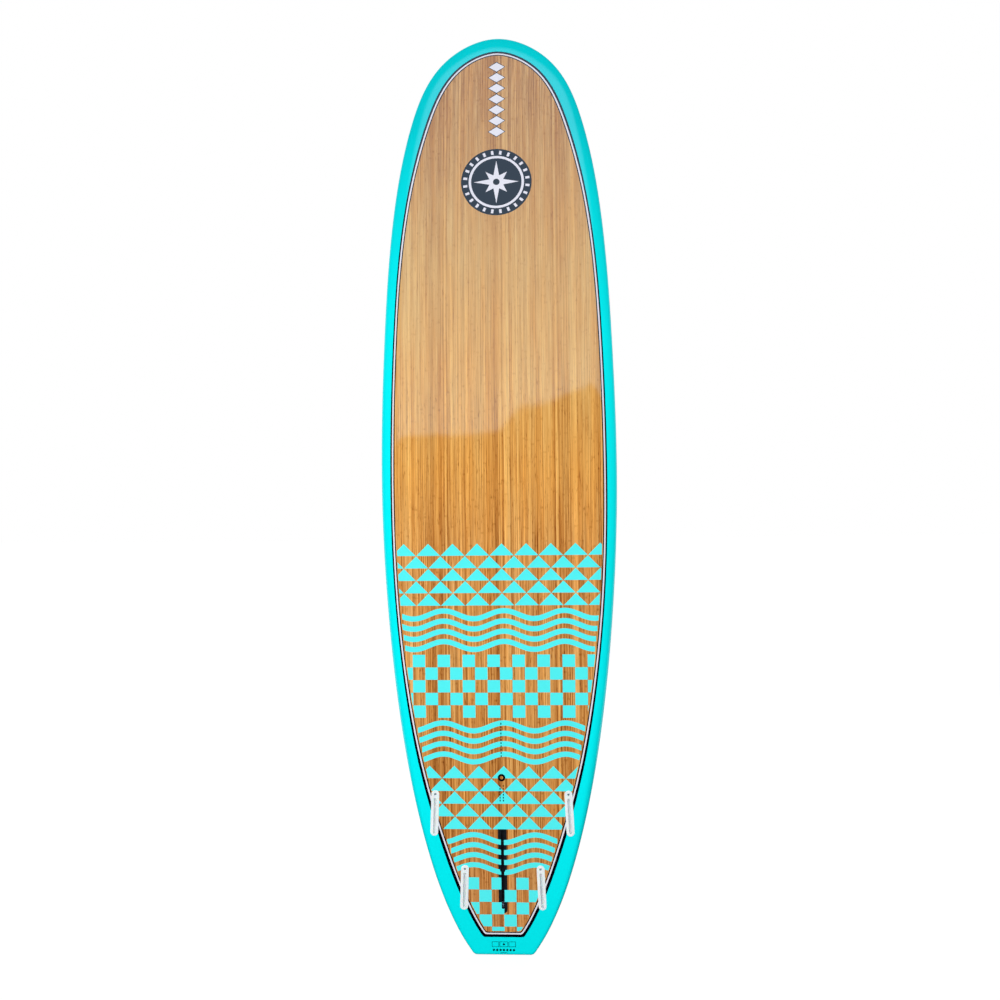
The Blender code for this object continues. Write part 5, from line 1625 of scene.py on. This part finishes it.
def build_world():
    """White backdrop, even fill, and a sky that the glossy resin mirrors above a dark skyline."""
    world = bpy.data.worlds.new("studio")
    world.use_nodes = True
    bpy.context.scene.world = world
    world.cycles.sampling_method = "NONE"
    world.node_tree.nodes.clear()
    w = Sky(world.node_tree)
    direction = w.add("ShaderNodeTexCoord").outputs["Generated"]
    path = w.add("ShaderNodeLightPath").outputs
    x, y, z = w.add("ShaderNodeSeparateXYZ", direction).outputs
    forward = w.math("MAXIMUM", w.math("MULTIPLY", y, -1.0), 0.05)
    sideways = w.math("DIVIDE", x, forward)
    height = w.math("DIVIDE", z, forward)

    wavy = w.add("ShaderNodeTexNoise", direction, None, SKYLINE_SCALE).outputs[0]
    skyline = w.spread(wavy, *NOISE_RANGE, SKYLINE - SKYLINE_WAVE, SKYLINE + SKYLINE_WAVE)
    for start, end, rise in zip(SKYLINE_STEPS, SKYLINE_STEPS[1:], SKYLINE_RISES):
        skyline = w.math("ADD", skyline, w.spread(sideways, start, end, 0.0, rise))
    above = w.math("SUBTRACT", height, skyline)
    in_sky = w.spread(above, -SKYLINE_BLUR, SKYLINE_BLUR)
    for share in (w.spread(y, *SKY_FRONT), w.spread(height, *SKY_TOP, 1.0, 0.0),
                  w.spread(w.math("ABSOLUTE", sideways), *SKY_SIDES, 1.0, 0.0)):
        in_sky = w.math("MULTIPLY", in_sky, share)
    on_panel = w.math("MULTIPLY", w.spread(y, *BACK_DEPTH), w.spread(z, *BACK_FOOT))
    behind = w.blended(on_panel, DARK_MIRROR, BACK_MIRROR)
    sky = w.blended(w.spread(above, 0.0, HAZE_HEIGHT), HAZE_MIRROR, SKY_MIRROR)
    mirrored = w.blended(in_sky, behind, sky)
    fill = w.blended(w.spread(z, -FILL_REACH, FILL_REACH), FILL_BELOW, FILL_ABOVE)
    seen = w.blended(path["Is Glossy Ray"], fill, mirrored)
    seen = w.blended(path["Is Camera Ray"], seen, (1, 1, 1))
    background = w.add("ShaderNodeBackground", seen, 1.0)
    w.add("ShaderNodeOutputWorld", background.outputs[0])


def add_camera():
    data = bpy.data.cameras.new("camera")
    data.lens = CAMERA_LENS
    camera = bpy.data.objects.new("camera", data)
    facing = Matrix.Rotation(CAMERA_YAW, 4, "Z")
    facing = facing @ Matrix.Rotation(math.pi / 2 + CAMERA_PITCH, 4, "X")
    camera.matrix_world = (Matrix.Translation(CAMERA_PLACE) @ facing
                           @ Matrix.Rotation(CAMERA_ROLL, 4, "Z"))
    bpy.context.scene.collection.objects.link(camera)
    bpy.context.scene.camera = camera


# ---------------------------------------------------------------- the object
SIDE = side_curve()
EDGE = outline_edge()
EDGE_TREE = edge_tree()
RAIL_UNDER_AT = cubic_spline(RAIL_STATIONS, RAIL_UNDER)
RAIL_OVER_AT = cubic_spline(RAIL_STATIONS, RAIL_OVER)
BAND_UNDER_AT = cubic_spline(BAND_STATIONS, BAND_UNDER)
OUTER_LINE_AT = cubic_spline(LINE_STATIONS, OUTER_LINE)

BLACK_INK = ink_finish("black_ink", (0.0006, 0.0008, 0.0036), 0.2)
WHITE_INK = ink_finish("white_ink", (0.790, 0.780, 0.860), 0.03)
PRINT_INK = ink_finish("print_ink", (0.090, 0.900, 0.910), 0.02)
RAIL_FINISH = paint_finish()
# The bottom's colours by height carry painted shade, darker towards the nose.
BAMBOO_BOTTOM = bamboo_finish("bamboo_bottom", BAMBOO_TONES_AND_SHADE, 0.0, RESIN)
BAMBOO_DECK = bamboo_finish("bamboo_deck", DECK_TONES, 0.4, DECK_RESIN)
BLACK_PLASTIC = plastic_finish()
MILKY_PLASTIC = milky_finish()
STEEL = steel_finish()
EVA = eva_finish()
RUBBER = rubber_finish()
LIGHT_FOAM = bead_foam_finish("light_foam", (0.88, 0.88, 0.86), 280.0)
DENSE_FOAM = bead_foam_finish("dense_foam", (0.84, 0.73, 0.44), 900.0)
STRINGER_WOOD = stringer_finish()

BEHAVIOUR = frame["record"]["behaviour"]
JOINTS = {joint["name"]: joint for joint in BEHAVIOUR["joints"]}
MOUNTS = {mount["name"]: mount for mount in frame["record"]["mounts"]}
SIDE_PLACES = {f"{row}_{side}": side_box_frame(f"{row}_{side}")
               for row in ("front", "rear") for side in ("left", "right")}
SIDE_FRAMES = [place for place, _ in SIDE_PLACES.values()]
SCREW_FRAME = fitting_frame(JOINTS["fin_screw_turn"]["pos_m"], JOINTS["fin_screw_turn"]["axis"])
CENTRE_FRAME = shifted(SCREW_FRAME, along=CENTRE_PLATE_DROP)
VENT_FRAME = fitting_frame(JOINTS["vent_screw_turn"]["pos_m"], JOINTS["vent_screw_turn"]["axis"])
LEASH_FACE = MOUNTS["leash_plug_face"]
LEASH_FRAME = fitting_frame((0, LEASH_FACE["pos_m"][1], LEASH_FACE["pos_m"][2]),
                            LEASH_FACE["axis"])
LEASH_FRAME = shifted(LEASH_FRAME, depth=FLANGE_PROUD)
HANDLE_MIDDLE = (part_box("handle_bar")[0].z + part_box("handle_bar")[1].z) / 2
HANDLE_FRAME = skin_frame(0, HANDLE_MIDDLE)

build_bottom(SIDE_FRAMES, CENTRE_FRAME)
build_deck(HANDLE_FRAME, VENT_FRAME, LEASH_FRAME)
build_rail(SIDE_FRAMES)
build_fittings(SIDE_PLACES, CENTRE_FRAME, SCREW_FRAME, HANDLE_FRAME, VENT_FRAME, LEASH_FRAME)
build_pads(HANDLE_FRAME)
finish_cores()

add_floor()
add_lights()
build_world()
add_camera()
bpy.context.scene.view_settings.view_transform = "Standard"
